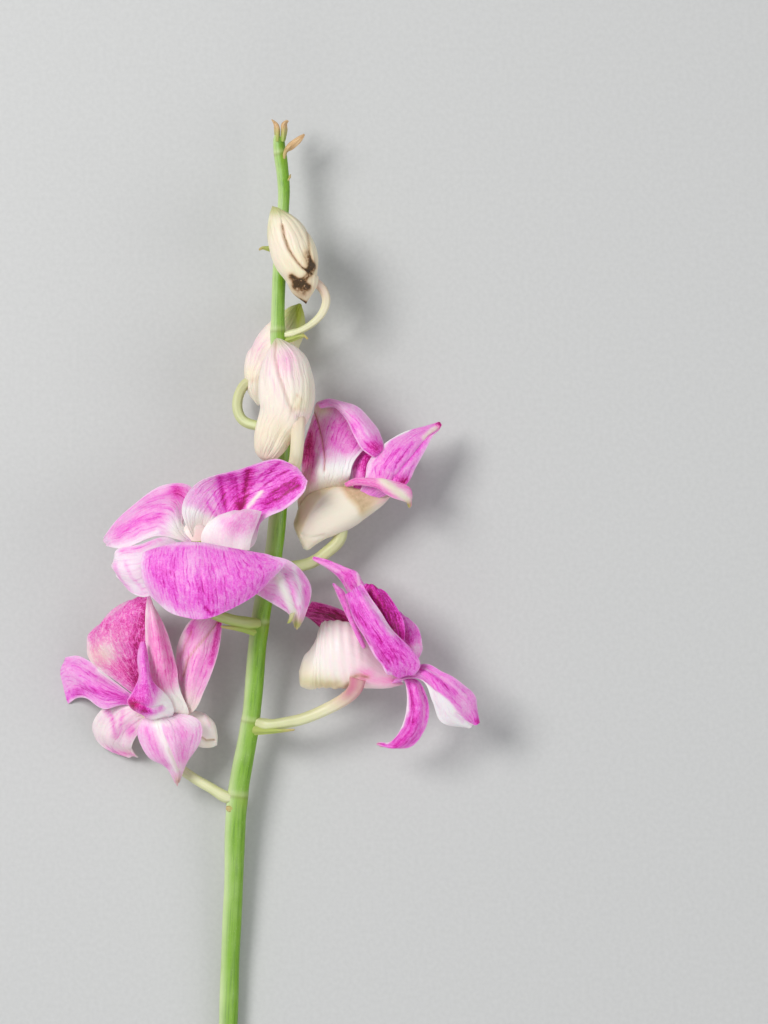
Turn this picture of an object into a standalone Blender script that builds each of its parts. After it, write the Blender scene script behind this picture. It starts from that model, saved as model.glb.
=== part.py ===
"""Orchid flower stem, cut and lying on a surface: one stalk with four open blooms and three buds.

Units are metres, +Z is up, the stalk runs along +Y and its cut end is at the low end of Y.
The origin is under the middle of the whole piece, on the surface that it lies on.

Every organ is described by a few points chosen by hand: across, along and height.
Across and along are counted in quarter millimetres on a plan of the stem, and height in millimetres.
"""

import math

import bmesh
import bpy
import numpy as np

# Driving dimensions
CELL = 0.00025                  # one step of the plan, a quarter of a millimetre
MM = 0.001
PLAN_CENTRE = (268.1, 619.1)    # the plan's point that lies over the origin
PETAL_THICKNESS = 0.0008
BRACT_THICKNESS = 0.0007
SEAT_GAP = 0.0003               # clearance between organs that grow on each other
SEAT_SLACK = 0.00002            # keeps the clearance where facets cut across a round
WELD = 0.00001                  # how near two points are when they are one

# How finely the surfaces are divided
BLADE_STEPS = (6, 9)            # across, along
BRACT_STEPS = (3, 4)
BODY_STEPS = (12, 13)           # round, along
TUBE_SIDES = 2                  # bevel resolution of a tube, which gives eight sides
STEM_RINGS = 64
PEDICEL_RINGS = 15
LOOK_AHEAD = 0.001              # share of a spine's length over which its direction is read

# The stalk: across, along, height, diameter in mm, from the cut end to the tip
STEM = [
    (225.5, 1120, 2.35, 4.7), (226.5, 1024, 3.1, 4.7), (231.5, 900, 4.9, 4.8), (236, 804, 7.2, 5.2),
    (250, 719, 9.4, 4.6), (257, 645, 11.2, 4.6), (262.5, 604, 12.2, 4.5), (273, 554, 13.2, 4.5),
    (278, 510, 13.9, 4.3), (283, 453, 14.4, 3.6), (281, 395, 14.6, 3.5), (277.5, 334, 14.5, 3.5),
    (278.5, 274, 14.0, 3.2), (283, 207, 13.2, 2.8), (283, 180, 12.9, 2.9), (278.5, 143, 12.4, 2.5),
    (279.5, 134, 12.3, 2.2),
]
NODES_ALONG = (802, 727, 628, 566, 482, 428, 335, 250, 157)   # where a pedicel or a scale grows
NODE_SWELLING = 0.10
NODE_LENGTH = 0.0028

# Pedicels: across, along, height, radius in mm, from inside the stalk to the bloom or bud
PEDICELS = {
    "bud_1_pedicel": [
        (281, 335, 14.5, 0.8), (296, 331.5, 15.3, 0.8), (311, 324, 16.3, 0.85), (322, 313, 17.2, 0.95),
        (326, 299, 18.4, 1.05), (320, 286, 19.4, 1.1), (307, 278, 20.4, 1.1),
    ],
    "bud_2_pedicel": [
        (281, 428, 14.3, 1.2), (260, 426, 12.2, 1.2), (244, 421, 10.4, 1.25), (237, 410, 8.8, 1.25),
        (237, 396, 7.4, 1.25), (243, 384, 6.4, 1.25), (255, 376, 6.0, 1.2),
    ],
    "bud_3_pedicel": [
        (283, 484, 14.2, 1.4), (290, 474, 17.0, 1.45), (296, 461, 19.6, 1.5), (299, 446, 22.0, 1.5),
        (299, 431, 24.6, 1.6), (295, 414, 27.2, 1.7), (289, 404, 27.6, 1.7),
    ],
    "bloom_1_pedicel": [
        (274, 568, 13.2, 1.4), (290, 567, 12.4, 1.4), (311, 563, 11.6, 1.45), (328, 551, 11.6, 1.5),
        (339, 539, 12.2, 1.6), (342, 522, 13.0, 1.7),
    ],
    "bloom_2_pedicel": [
        (260, 624, 12.4, 1.3), (245, 623, 16.4, 1.3), (228, 619, 19.2, 1.35), (212, 612, 20.6, 1.35),
        (200, 598, 21.3, 1.4), (196, 580, 22.2, 1.5), (198, 565, 24.0, 2.1), (200, 553, 26.5, 2.9),
        (200, 546, 28.6, 2.4),
    ],
    "bloom_3_pedicel": [
        (236, 801, 7.6, 1.25), (224, 799, 8.2, 1.25), (209, 790, 8.0, 1.25), (192, 780, 7.2, 1.2),
        (176, 768, 6.4, 1.2), (162, 752, 6.0, 1.3), (152, 734, 7.0, 1.5), (150, 720, 9.0, 2.3),
        (150, 711, 11.4, 3.0), (150, 706, 13.4, 2.5),
    ],
    "bloom_4_pedicel": [
        (255, 724, 9.8, 1.4), (268, 726, 11.8, 1.4), (284, 724, 12.6, 1.4), (304, 719.5, 13.0, 1.4),
        (326, 710, 13.4, 1.45), (345, 699, 13.8, 1.5), (356, 688, 14.0, 1.6), (360, 676, 14.0, 1.6),
    ],
}

# Closed bodies: across, along, height, half width in mm, half depth in mm, from one tip to the other
BODIES = {
    "bud_1": [
        (272.3, 206, 20.4, 0.0, 0.0), (276, 213, 20.7, 1.7, 1.7), (284, 229, 21.2, 4.5, 4.3),
        (292, 247, 21.4, 5.5, 5.1), (298, 264, 21.2, 5.3, 4.9), (302, 279, 20.8, 3.9, 3.6),
        (303.5, 291, 20.2, 2.8, 2.6), (306, 304, 19.6, 0.0, 0.0),
    ],
    "bud_2": [
        (299.6, 302, 6.8, 0.0, 0.0), (296, 309, 6.4, 2.0, 1.9), (288, 325, 5.4, 4.3, 4.1),
        (276, 343, 4.8, 5.4, 5.2), (264, 360, 4.35, 4.8, 4.6), (257, 376, 5.2, 3.5, 3.3),
        (256, 391, 5.8, 2.3, 2.2), (257, 405, 6.2, 0.0, 0.0),
    ],
    "bud_3": [
        (277, 338, 22.6, 0.0, 0.0), (279.5, 344, 22.9, 1.8, 1.8), (284, 360, 23.6, 5.3, 5.0),
        (286, 378, 24.0, 6.8, 6.3), (287, 396, 23.9, 7.0, 6.4), (284, 413, 23.3, 6.3, 5.8),
        (276, 429, 22.4, 5.2, 4.6), (270, 444, 21.6, 4.2, 3.4), (265, 455, 20.8, 2.6, 2.0),
        (263, 461, 20.4, 0.0, 0.0),
    ],
    "bloom_1_mentum": [
        (303, 549, 12.4, 0.0, 0.0), (300.5, 538, 12.5, 3.5, 2.4), (305.5, 529, 12.8, 4.7, 3.6),
        (314, 520, 13.0, 5.6, 4.4), (326, 512, 13.0, 6.4, 4.7), (341.5, 506.5, 12.9, 5.9, 4.4),
        (357.5, 501.5, 12.8, 4.6, 3.6), (377, 497.5, 12.6, 2.5, 2.2), (391, 496.5, 12.5, 0.0, 0.0),
    ],
    "bloom_2_mentum": [
        (203, 552, 25.4, 0.0, 0.0), (206, 558, 24.6, 2.2, 2.0), (211, 570, 23.4, 3.0, 2.5),
        (218, 583, 22.9, 2.3, 1.9), (223, 592, 22.8, 0.0, 0.0),
    ],
    "bloom_3_mentum": [
        (154, 716, 10.0, 0.0, 0.0), (162, 718, 9.6, 2.0, 1.8), (178, 723, 9.0, 3.2, 2.7),
        (193, 728, 8.6, 4.0, 3.0), (206, 736, 8.4, 3.6, 2.6), (213, 743, 8.2, 1.8, 1.5),
        (216, 747, 8.2, 0.0, 0.0),
    ],
    "bloom_4_mentum": [
        (298.5, 672, 13.4, 0.0, 0.0), (301.5, 671, 13.5, 3.7, 2.2), (308, 668, 13.8, 5.3, 3.8),
        (315, 661.5, 14.0, 6.9, 4.8), (321, 655, 14.2, 8.5, 5.3), (338, 655, 14.6, 8.5, 5.6),
        (356, 658.5, 14.8, 7.6, 5.2), (372, 668.5, 14.8, 5.2, 4.0), (388, 679, 14.6, 2.5, 2.3),
        (404, 685, 14.4, 0.0, 0.0),
    ],
    "bloom_1_column": [
        (350, 496, 12.4, 0.0, 0.0), (353, 490, 12.3, 0.9, 0.8), (358, 480, 12.2, 1.0, 0.8),
        (361, 472, 12.0, 0.0, 0.0),
    ],
    "bloom_2_column": [
        (202, 549, 29.4, 0.0, 0.0), (200, 543, 30.2, 1.2, 1.1), (197, 533, 30.8, 1.4, 1.2),
        (196, 525, 30.8, 1.2, 1.0), (197, 518, 30.4, 0.0, 0.0),
    ],
    "bloom_3_column": [
        (157, 708, 15.2, 0.0, 0.0), (159, 704.5, 17.6, 1.0, 0.9), (161, 698, 19.7, 1.1, 0.9),
        (162, 691, 20.6, 0.9, 0.8), (162, 686, 20.8, 0.0, 0.0),
    ],
    "bloom_4_column": [
        (391, 676, 16.2, 0.0, 0.0), (397, 668, 17.0, 0.7, 0.7), (402, 661, 17.4, 0.8, 0.7),
        (405, 656, 17.4, 0.0, 0.0),
    ],
}

# Petals, sepals and lips: rows from the base to the tip, each row from one edge to the other
BLADES = {
    "bloom_1_left_petal": [
        [(307, 518, 14.4), (322, 508, 15.4), (338, 499, 15.6)],
        [(297.5, 506, 14.0), (318, 494, 17.4), (347, 485, 17.4)],
        [(300, 478, 13.6), (323, 474, 17.8), (350, 475, 17.0)],
        [(304, 446, 12.8), (328, 450, 17.0), (354, 461, 16.0)],
        [(311, 420, 11.6), (335, 428, 15.8), (367, 447, 15.0)],
        [(316, 402.5, 10.6), (344, 412, 13.6), (383, 444, 13.4)],
        [(329, 399.5, 10.4), (350, 405.5, 11.8), (374, 426, 12.0)],
    ],
    "bloom_1_right_petal": [
        [(356, 500, 14.0), (362, 501, 14.2), (368, 502, 14.0)],
        [(365, 478, 15.6), (384, 484, 16.4), (404, 486, 15.2)],
        [(368, 462, 15.2), (391, 466, 17.4), (416, 467, 15.4)],
        [(382, 446, 14.2), (403, 449, 16.4), (425, 450, 14.6)],
        [(405, 431.5, 12.8), (417, 436, 14.0), (433, 436, 13.2)],
        [(427, 425, 12.0), (435, 427, 12.2), (440, 428.5, 12.0)],
        [(439, 421.5, 11.6), (440.5, 422, 11.6), (442, 424.5, 11.6)],
    ],
    "bloom_1_lower_sepal": [
        [(343, 497, 16.0), (345, 498, 16.0), (347, 499, 16.0)],
        [(356, 478, 18.6), (357, 481, 18.8), (358, 485, 18.6)],
        [(374, 478, 19.0), (375, 482, 19.4), (376, 488, 19.0)],
        [(391, 480.5, 18.6), (391, 488, 19.2), (391, 497, 18.4)],
        [(410, 488, 17.2), (409, 494.5, 17.6), (405, 501.5, 17.0)],
        [(412, 505, 16.2), (409.5, 508, 16.0), (407.5, 505, 16.2)],
    ],
    "bloom_1_back_sepal": [
        [(334, 500, 11.6), (341, 500, 11.4), (348, 500, 11.6)],
        [(334, 480, 9.0), (346, 478, 9.4), (357, 482, 9.0)],
        [(338, 456, 5.0), (351, 454, 5.4), (364, 460, 5.0)],
        [(344, 434, 1.4), (357, 431, 1.8), (370, 437, 1.4)],
        [(350, 417, 0.0), (359, 413, 0.0), (367, 420, 0.0)],
    ],
    "bloom_1_side_sepal": [
        [(366, 500, 11.8), (371, 500, 11.6), (376, 500, 11.8)],
        [(374, 482, 9.4), (385, 484, 9.8), (397, 486, 9.4)],
        [(380, 466, 6.0), (394, 467, 6.4), (408, 470, 6.0)],
        [(390, 452, 2.2), (402, 452, 2.6), (414, 456, 2.2)],
        [(399, 443, 0.0), (406, 442, 0.0), (413, 447, 0.0)],
    ],
    "bloom_1_lip": [
        [(354, 499, 13.4), (358, 500, 13.4), (361, 500, 13.4)],
        [(353, 480, 14.0), (362, 478, 14.8), (372, 479, 13.2)],
        [(353, 466, 13.6), (364, 463, 14.6), (377, 468, 12.6)],
        [(362, 452, 12.6), (370, 449, 13.2), (380, 456, 12.0)],
        [(371, 446, 12.0), (375, 445, 12.2), (380, 448, 11.8)],
    ],
    "bloom_2_left_sepal": [
        [(196, 544, 27.6), (197, 546, 27.4), (198, 548, 27.2)],
        [(184, 524, 25.6), (181, 532, 27.2), (181, 540, 28.2)],
        [(192, 488, 22.0), (172, 510, 26.0), (160, 536, 29.2)],
        [(160, 487, 21.0), (148, 512, 25.4), (140, 543, 28.6)],
        [(126, 511, 20.0), (122, 528, 23.2), (122, 548.5, 26.0)],
        [(103.6, 538, 19.0), (104, 541, 19.4), (107, 546, 20.4)],
    ],
    "bloom_2_lower_sepal": [
        [(191, 554, 25.8), (192, 558, 25.4), (193, 562, 25.2)],
        [(168, 537, 30.2), (166, 558, 31.2), (172, 578, 29.8)],
        [(141, 544.5, 31.2), (140, 567, 33.4), (152, 595, 31.4)],
        [(119, 549.5, 28.6), (120, 568, 30.6), (133, 591.5, 28.8)],
        [(114.5, 560, 26.6), (113.5, 566, 27.0), (117.5, 576, 26.6)],
    ],
    "bloom_2_front_petal": [
        [(195, 554, 28.6), (198, 554.5, 29.0), (201, 555, 29.2), (205, 554.5, 29.0), (208, 554, 28.6)],
        [(153, 550, 34.8), (176, 543.5, 36.4), (201, 543, 37.2), (228, 547.5, 36.8), (258, 552.5, 35.4)],
        [(144, 558, 36.0), (170, 562, 39.8), (203, 566, 41.2), (238, 565, 40.4), (278, 557, 36.6)],
        [(145, 576, 36.0), (172, 586, 40.6), (206, 590, 42.6), (243, 584, 41.0), (288, 562, 36.4)],
        [(152, 596, 34.4), (180, 614, 38.6), (207, 617, 40.4), (241, 604, 39.2), (273, 579, 36.2)],
    ],
    "bloom_2_right_sepal": [
        [(205, 552, 26.4), (206, 555, 26.2), (206, 558, 26.0)],
        [(232, 552, 28.6), (234, 566, 29.2), (236, 580, 28.4)],
        [(264, 555, 30.4), (262, 575, 31.8), (257, 593, 30.4)],
        [(292, 562, 29.8), (285, 582, 32.4), (274, 603, 30.6)],
        [(310.5, 586, 27.2), (300, 600, 29.6), (288, 612, 28.2)],
        [(305, 614, 25.2), (299.5, 620, 26.0), (293, 621, 25.6)],
        [(299, 627, 24.4), (297, 628.5, 24.4), (295, 626.5, 24.4)],
    ],
    "bloom_2_far_petal": [
        [(197, 546, 26.8), (200, 546, 26.4), (203, 547, 26.4)],
        [(183, 510, 28.0), (212, 522, 25.4), (250, 548, 26.4)],
        [(201, 481, 27.4), (234, 492, 24.2), (262, 522, 26.4)],
        [(243, 469, 26.6), (262, 482, 24.4), (285, 509, 26.2)],
        [(276, 459, 25.6), (287, 472, 25.0), (304, 493, 26.6)],
        [(297, 467, 25.6), (302, 473, 25.8), (307.5, 481, 26.6)],
    ],
    "bloom_2_lip": [
        [(206, 547, 29.0), (209, 548, 29.2), (212, 549, 29.0)],
        [(206, 538, 29.2), (226, 540, 30.6), (249, 546, 29.4)],
        [(208, 526, 28.8), (230, 528, 30.4), (254, 535, 28.8)],
        [(222, 512.5, 28.4), (237, 513, 29.2), (256, 521, 28.2)],
    ],
    "bloom_3_upper_petal": [
        [(143, 703, 12.0), (146, 701, 12.2), (149, 700, 12.4)],
        [(120, 686, 13.0), (132, 676, 13.2), (146, 671, 13.6)],
        [(90, 662, 11.6), (114, 645, 14.6), (148, 640, 15.4)],
        [(86, 643, 9.4), (107, 626, 12.8), (149, 614, 15.2)],
        [(100, 623, 8.0), (116, 610, 11.0), (148, 601, 14.2)],
        [(122, 607, 8.0), (131, 600, 9.6), (147, 597, 12.4)],
    ],
    "bloom_3_middle_petal": [
        [(152, 702, 14.0), (155, 704, 14.2), (158, 706, 14.0)],
        [(150, 696, 15.4), (165, 701, 16.4), (185, 709, 15.2)],
        [(146.5, 679, 17.0), (161, 682, 18.4), (179, 686, 16.6)],
        [(145, 655, 17.8), (160, 660, 20.6), (176, 666, 17.4)],
        [(144.5, 629, 17.8), (156, 634, 20.6), (169, 638, 17.2)],
        [(145.5, 607, 17.0), (152, 611, 18.8), (159.5, 617, 16.8)],
        [(146, 595.5, 16.4), (148, 595, 16.6), (150, 598, 16.4)],
    ],
    "bloom_3_right_petal": [
        [(156, 705, 11.6), (158, 708, 11.4), (159, 711, 11.4)],
        [(180, 698, 13.0), (184, 706, 13.6), (190, 714, 13.4)],
        [(176, 672, 12.0), (190, 679, 14.8), (205, 688, 14.0)],
        [(177, 645, 11.0), (198, 650, 14.0), (215.5, 660, 13.2)],
        [(190, 621, 9.8), (204, 629, 12.0), (220, 638, 11.8)],
        [(209, 617, 9.0), (216, 616, 9.4), (221.6, 614.5, 9.8)],
    ],
    "bloom_3_left_sepal": [
        [(142, 706, 10.6), (142, 709, 10.4), (142, 712, 10.4)],
        [(122, 691, 11.6), (118, 702, 12.2), (116, 713, 11.6)],
        [(104, 675, 9.2), (98, 692, 11.0), (101, 709, 10.4)],
        [(88, 663, 6.2), (82, 682, 8.2), (85, 699, 7.4)],
        [(73, 657, 2.0), (67, 677, 3.2), (74, 700, 2.4)],
        [(61, 659, 0.0), (56.8, 680, 0.0), (65, 706, 0.0)],
    ],
    "bloom_3_lower_left_sepal": [
        [(144, 715, 9.6), (147, 717, 9.4), (150, 718, 9.4)],
        [(122, 714, 10.4), (132, 722, 11.2), (143, 729, 11.0)],
        [(101, 711, 7.6), (116, 727, 9.8), (135, 736, 10.2)],
        [(90.5, 727, 4.4), (107, 741, 6.4), (130, 748, 7.6)],
        [(95, 744.5, 2.0), (112, 752, 3.2), (131, 753, 5.6)],
        [(116, 756, 1.6), (126, 759.5, 2.4), (136, 758.5, 3.8)],
    ],
    "bloom_3_lower_front_sepal": [
        [(149, 713, 12.6), (152, 714, 12.6), (155, 714, 12.6)],
        [(138, 728, 15.6), (162, 724, 17.6), (192, 717.5, 15.8)],
        [(138, 740, 15.4), (168, 742, 18.8), (201.5, 728, 15.4)],
        [(148, 757, 14.2), (171, 757, 17.0), (198, 744, 14.6)],
        [(164, 768, 12.0), (176, 771, 13.8), (187, 762, 12.8)],
        [(174.5, 784, 10.4), (176, 787, 10.4), (177.5, 783, 10.4)],
    ],
    "bloom_3_lip": [
        [(146, 708, 14.6), (149, 709, 14.8), (152, 709, 14.6)],
        [(131, 706, 18.4), (146, 713, 21.0), (161, 711, 19.4)],
        [(127, 701, 20.4), (142, 702, 24.0), (158, 697, 22.2)],
        [(134, 683, 21.4), (145, 685, 24.6), (155, 686, 23.0)],
        [(139.5, 662, 21.2), (146, 666, 23.0), (151, 672, 22.4)],
        [(142, 643, 20.4), (143.5, 642, 20.6), (145.5, 644, 20.4)],
    ],
    "bloom_4_main_petal": [
        [(382, 676, 17.6), (386, 677, 17.8), (390, 678, 17.6)],
        [(385, 668, 22.0), (401, 667, 24.6), (425, 669, 23.0)],
        [(376, 657, 22.6), (393, 652, 26.4), (413, 653, 24.8)],
        [(364, 637, 22.6), (380, 630, 27.0), (400, 631, 25.4)],
        [(353, 614, 21.8), (366, 608, 26.2), (384, 607, 25.2)],
        [(345.5, 595, 20.8), (355, 588.5, 23.6), (366, 583.5, 23.4)],
    ],
    "bloom_4_back_petal": [
        [(383, 676, 15.8), (386, 675, 15.9), (389, 674, 15.8)],
        [(386, 652, 18.6), (394, 650, 19.4), (402, 648, 18.6)],
        [(376, 632, 20.4), (391, 626, 21.8), (405, 632, 20.8)],
        [(367, 610, 20.4), (382, 604, 21.8), (401, 616, 20.6)],
        [(362, 592, 19.8), (374, 589, 21.0), (391, 599, 20.2)],
        [(366, 583.5, 19.6), (372, 585, 19.9), (381, 590, 19.6)],
    ],
    "bloom_4_top_sepal": [
        [(382, 674, 13.0), (385, 673, 13.0), (388, 672, 13.0)],
        [(381, 648, 13.6), (388, 644, 14.0), (395, 641, 13.6)],
        [(362, 620, 14.4), (372, 612, 15.2), (382, 606, 14.8)],
        [(349, 597, 15.4), (357, 590, 16.6), (363.5, 583, 16.4)],
        [(340, 580, 15.8), (349, 576, 17.0), (356, 571.5, 16.6)],
        [(324, 567, 15.4), (331, 564, 16.0), (339, 566, 16.0)],
        [(313, 560, 15.0), (312.5, 557.5, 15.0), (317, 558, 15.0)],
    ],
    "bloom_4_left_petal": [
        [(352, 660, 10.4), (357, 652, 11.0), (360, 644, 12.0)],
        [(346, 656, 4.6), (348, 638, 8.2), (357, 625, 12.4)],
        [(330, 650, 0.0), (330, 628, 5.6), (345, 612, 12.2)],
        [(313, 642, 0.0), (312, 622, 5.4), (328, 605.5, 11.2)],
        [(304, 630, 1.4), (302, 617, 5.8), (311, 602.5, 9.6)],
    ],
    "bloom_4_side_lobe": [
        [(362, 650, 18.6), (364, 648, 18.7), (366, 646, 18.6)],
        [(349, 622, 19.4), (352, 621, 19.7), (355, 620, 19.4)],
        [(338, 598, 18.8), (342, 596, 19.2), (346, 594, 18.8)],
        [(332.5, 585, 18.2), (333, 583.5, 18.2), (335, 583.5, 18.2)],
    ],
    "bloom_4_lip": [
        [(392, 679, 14.4), (395, 678, 14.4), (398, 677, 14.4)],
        [(404, 662, 15.4), (412, 660, 16.0), (420, 656, 15.2)],
        [(400, 640, 15.4), (411, 640, 17.4), (421.5, 643, 16.0)],
        [(396, 625, 15.2), (407, 626, 17.0), (419, 631, 16.0)],
        [(394, 614, 14.8), (399, 612, 15.4), (409, 619, 15.2)],
    ],
    "bloom_4_lower_right_sepal": [
        [(392, 683, 16.2), (395, 682, 16.4), (398, 681, 16.2)],
        [(412, 678, 20.0), (418, 671, 20.6), (424, 664, 20.4)],
        [(425, 685, 20.8), (433, 678, 22.4), (444, 673, 21.2)],
        [(432, 702, 20.0), (443, 691, 22.8), (459, 681.5, 20.8)],
        [(439, 720, 17.6), (456, 707, 20.2), (473, 693.5, 18.2)],
        [(452, 727, 16.0), (465, 717, 17.6), (477, 706.5, 16.2)],
        [(469, 729.5, 14.8), (474, 727, 14.8), (480, 723, 14.8)],
    ],
    "bloom_4_curling_sepal": [
        [(386, 682, 14.4), (389, 682.5, 14.2), (392, 683, 14.0)],
        [(403, 681, 16.4), (409, 681, 17.4), (416, 680, 16.8)],
        [(407, 695, 17.6), (416, 694, 19.4), (426, 694, 18.0)],
        [(406, 715, 16.4), (417, 714, 18.8), (429, 712, 17.0)],
        [(400, 731, 14.8), (411, 733, 16.8), (424, 732, 15.4)],
        [(390, 743, 12.8), (397, 747, 13.8), (410, 748, 13.4)],
        [(378, 744, 11.4), (377, 745.5, 11.4), (380, 748, 11.4)],
    ],
}

# Small dry scales on the stalk: rows from the base to the tip, like the petals
BRACTS = {
    "tip_left_bract": [
        [(278, 137, 12.0), (276, 135, 13.4), (275, 133, 12.4)],
        [(279, 127, 12.6), (275.5, 126, 13.8), (272.5, 126, 12.8)],
        [(277, 119, 13.0), (274.5, 118, 13.4), (272, 118.5, 13.0)],
    ],
    "tip_right_bract": [
        [(281, 137, 12.4), (283.5, 135, 13.6), (286, 134, 12.6)],
        [(281.5, 127, 12.8), (284.5, 126, 14.0), (287, 126, 12.8)],
        [(283, 119, 13.2), (285, 118.5, 13.6), (287, 120, 13.0)],
    ],
    "tip_side_bract": [
        [(280, 157, 13.2), (284, 156, 13.6), (286, 157, 12.6)],
        [(283, 147, 14.2), (287, 149, 14.6), (290, 151, 13.8)],
        [(292, 139, 14.8), (294, 142, 15.2), (296, 146, 14.6)],
        [(303, 132.5, 15.4), (304.5, 133.5, 15.4), (305, 135.5, 15.4)],
    ],
    "left_hook_bract": [
        [(277, 243, 14.0), (275, 248, 14.4), (277, 253, 14.0)],
        [(268, 246.5, 14.2), (267, 249, 14.4), (268, 251.5, 14.2)],
        [(259.5, 248.5, 14.4), (259, 249.8, 14.4), (260, 251.5, 14.4)],
    ],
    "right_hook_bract": [
        [(284, 184, 13.4), (286, 180, 13.6), (287, 176, 13.2)],
        [(289, 178, 13.8), (290, 175.5, 13.9), (290.5, 173, 13.6)],
    ],
    "bud_1_bract": [
        [(280, 341, 14.8), (281, 344, 14.8), (280, 347, 14.4)],
        [(296, 338.5, 15.6), (296, 341, 15.8), (296, 343.5, 15.4)],
        [(306, 336.5, 16.0), (307, 338, 16.0), (307, 340, 16.0)],
    ],
    "bloom_2_bract": [
        [(256, 632, 13.4), (257, 636, 13.2), (257, 640, 12.6)],
        [(238, 628.5, 17.4), (238, 631.5, 17.6), (239, 634.5, 17.0)],
        [(222, 626, 19.2), (221, 628, 19.3), (222, 630.5, 19.0)],
    ],
    "bloom_3_bract": [
        [(236, 808, 8.8), (237, 812, 8.8), (237, 816, 8.4)],
        [(225.5, 808, 9.6), (225, 810.5, 9.7), (226, 813, 9.4)],
    ],
    "bloom_4_bract": [
        [(252, 732, 11.4), (252, 736, 11.2), (252, 740, 10.6)],
        [(272, 733.5, 13.2), (272, 736, 13.4), (272, 739, 12.8)],
        [(293, 732.5, 14.4), (294, 734, 14.4), (293.5, 736, 14.2)],
    ],
}

# What each piece is trimmed back from, so that it ends just short of what it grows on.
# The blades and columns of a bloom are trimmed back from its core.
SEATS = {
    "bud_1_pedicel": ["stem", "bud_1"],
    "bud_2_pedicel": ["stem", "bud_2"],
    "bud_3_pedicel": ["stem", "bud_3"],
    "bloom_1_pedicel": ["stem", "bloom_1_mentum"],
    "bloom_2_pedicel": ["stem"],
    "bloom_3_pedicel": ["stem"],
    "bloom_4_pedicel": ["stem", "bloom_4_mentum"],
    "bloom_2_mentum": ["bloom_2_pedicel"],
    "bloom_3_mentum": ["bloom_3_pedicel"],
}
CORES = {
    "bloom_1": ["bloom_1_mentum"],
    "bloom_2": ["bloom_2_pedicel", "bloom_2_mentum"],
    "bloom_3": ["bloom_3_pedicel", "bloom_3_mentum"],
    "bloom_4": ["bloom_4_mentum", "bloom_4_pedicel"],
}

# Blades whose tips are drawn out so thin that their cuts need the other solver
THIN_TIPPED = ("bloom_4_curling_sepal", "bloom_4_lower_right_sepal", "tip_left_bract")

# Finishes: colour, roughness
FINISHES = {
    "stem": ((0.36, 0.52, 0.16), 0.45),
    "pedicel": ((0.62, 0.70, 0.36), 0.45),
    "bud": ((0.86, 0.80, 0.68), 0.50),
    "mentum": ((0.88, 0.84, 0.76), 0.50),
    "column": ((0.93, 0.76, 0.80), 0.50),
    "petal": ((0.72, 0.22, 0.62), 0.55),
    "sepal": ((0.80, 0.42, 0.70), 0.55),
    "lobe": ((0.66, 0.16, 0.50), 0.55),
    "lip": ((0.62, 0.12, 0.48), 0.55),
    "bract": ((0.72, 0.62, 0.34), 0.70),
}


def place(points):
    """Turns plan points (across, along, height) into metres about the origin."""
    p = np.asarray(points, dtype=float)
    x = (p[..., 0] - PLAN_CENTRE[0]) * CELL
    y = (PLAN_CENTRE[1] - p[..., 1]) * CELL
    return np.stack([x, y, p[..., 2] * MM], axis=-1)


def spline_weights(count, t):
    """Weights of `count` points at each t from 0 to 1, for the cubic that passes through every point.

    Before the first and after the last point the curve runs on as if mirrored through that point.
    """
    where = np.clip(t, 0.0, 1.0) * (count - 1)
    start = np.minimum(where.astype(int), count - 2)
    f = where - start
    cubic = [
        (-f + 2 * f**2 - f**3) / 2,
        (2 - 5 * f**2 + 3 * f**3) / 2,
        (f + 4 * f**2 - 3 * f**3) / 2,
        (-(f**2) + f**3) / 2,
    ]
    wide = np.zeros((len(f), count + 2))
    rows = np.arange(len(f))
    for k, part in enumerate(cubic):
        wide[rows, start + k] += part
    weights = wide[:, 1:-1].copy()
    weights[:, 0] += 2 * wide[:, 0]
    weights[:, 1] -= wide[:, 0]
    weights[:, -1] += 2 * wide[:, -1]
    weights[:, -2] -= wide[:, -1]
    return weights


def finish(name):
    """The material of a piece, found from the last word of its name."""
    kind = name.split("_")[-1]
    kind = kind if kind in FINISHES else "bud"
    material = bpy.data.materials.get(kind)
    if material is None:
        colour, roughness = FINISHES[kind]
        material = bpy.data.materials.new(kind)
        material.use_nodes = True
        shader = material.node_tree.nodes["Principled BSDF"]
        shader.inputs["Base Color"].default_value = (*colour, 1.0)
        shader.inputs["Roughness"].default_value = roughness
        shader.inputs["Metallic"].default_value = 0.0
        material.diffuse_color = (*colour, 1.0)
    return material


def add_object(name, mesh, collection):
    mesh.materials.clear()
    mesh.materials.append(finish(name))
    mesh.shade_smooth()
    piece = bpy.data.objects.new(name, mesh)
    collection.objects.link(piece)
    return piece


def blade(name, rows, thickness, steps, collection):
    """A thin curved leaf through a net of points, thickened evenly to both sides.

    Where it would sink below the surface it lies on, it is pressed flat there.
    """
    across, along = steps
    net = place(rows)
    bm = bmesh.new()
    bmesh.ops.create_grid(bm, x_segments=across, y_segments=along, size=0.5)
    grid = np.array([vertex.co[:] for vertex in bm.verts]) + 0.5
    over = spline_weights(net.shape[1], grid[:, 0])
    down = spline_weights(net.shape[0], grid[:, 1])
    points = np.einsum("vi,vj,ijk->vk", down, over, net)
    points[:, 2] = np.maximum(points[:, 2], thickness / 2)
    for vertex, point in zip(bm.verts, points):
        vertex.co = point
    bmesh.ops.triangulate(bm, faces=bm.faces)
    mesh = bpy.data.meshes.new(name)
    bm.to_mesh(mesh)
    bm.free()
    piece = add_object(name, mesh, collection)
    wall = piece.modifiers.new("Thickness", "SOLIDIFY")
    wall.thickness = thickness
    wall.offset = 0.0
    return piece


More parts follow.
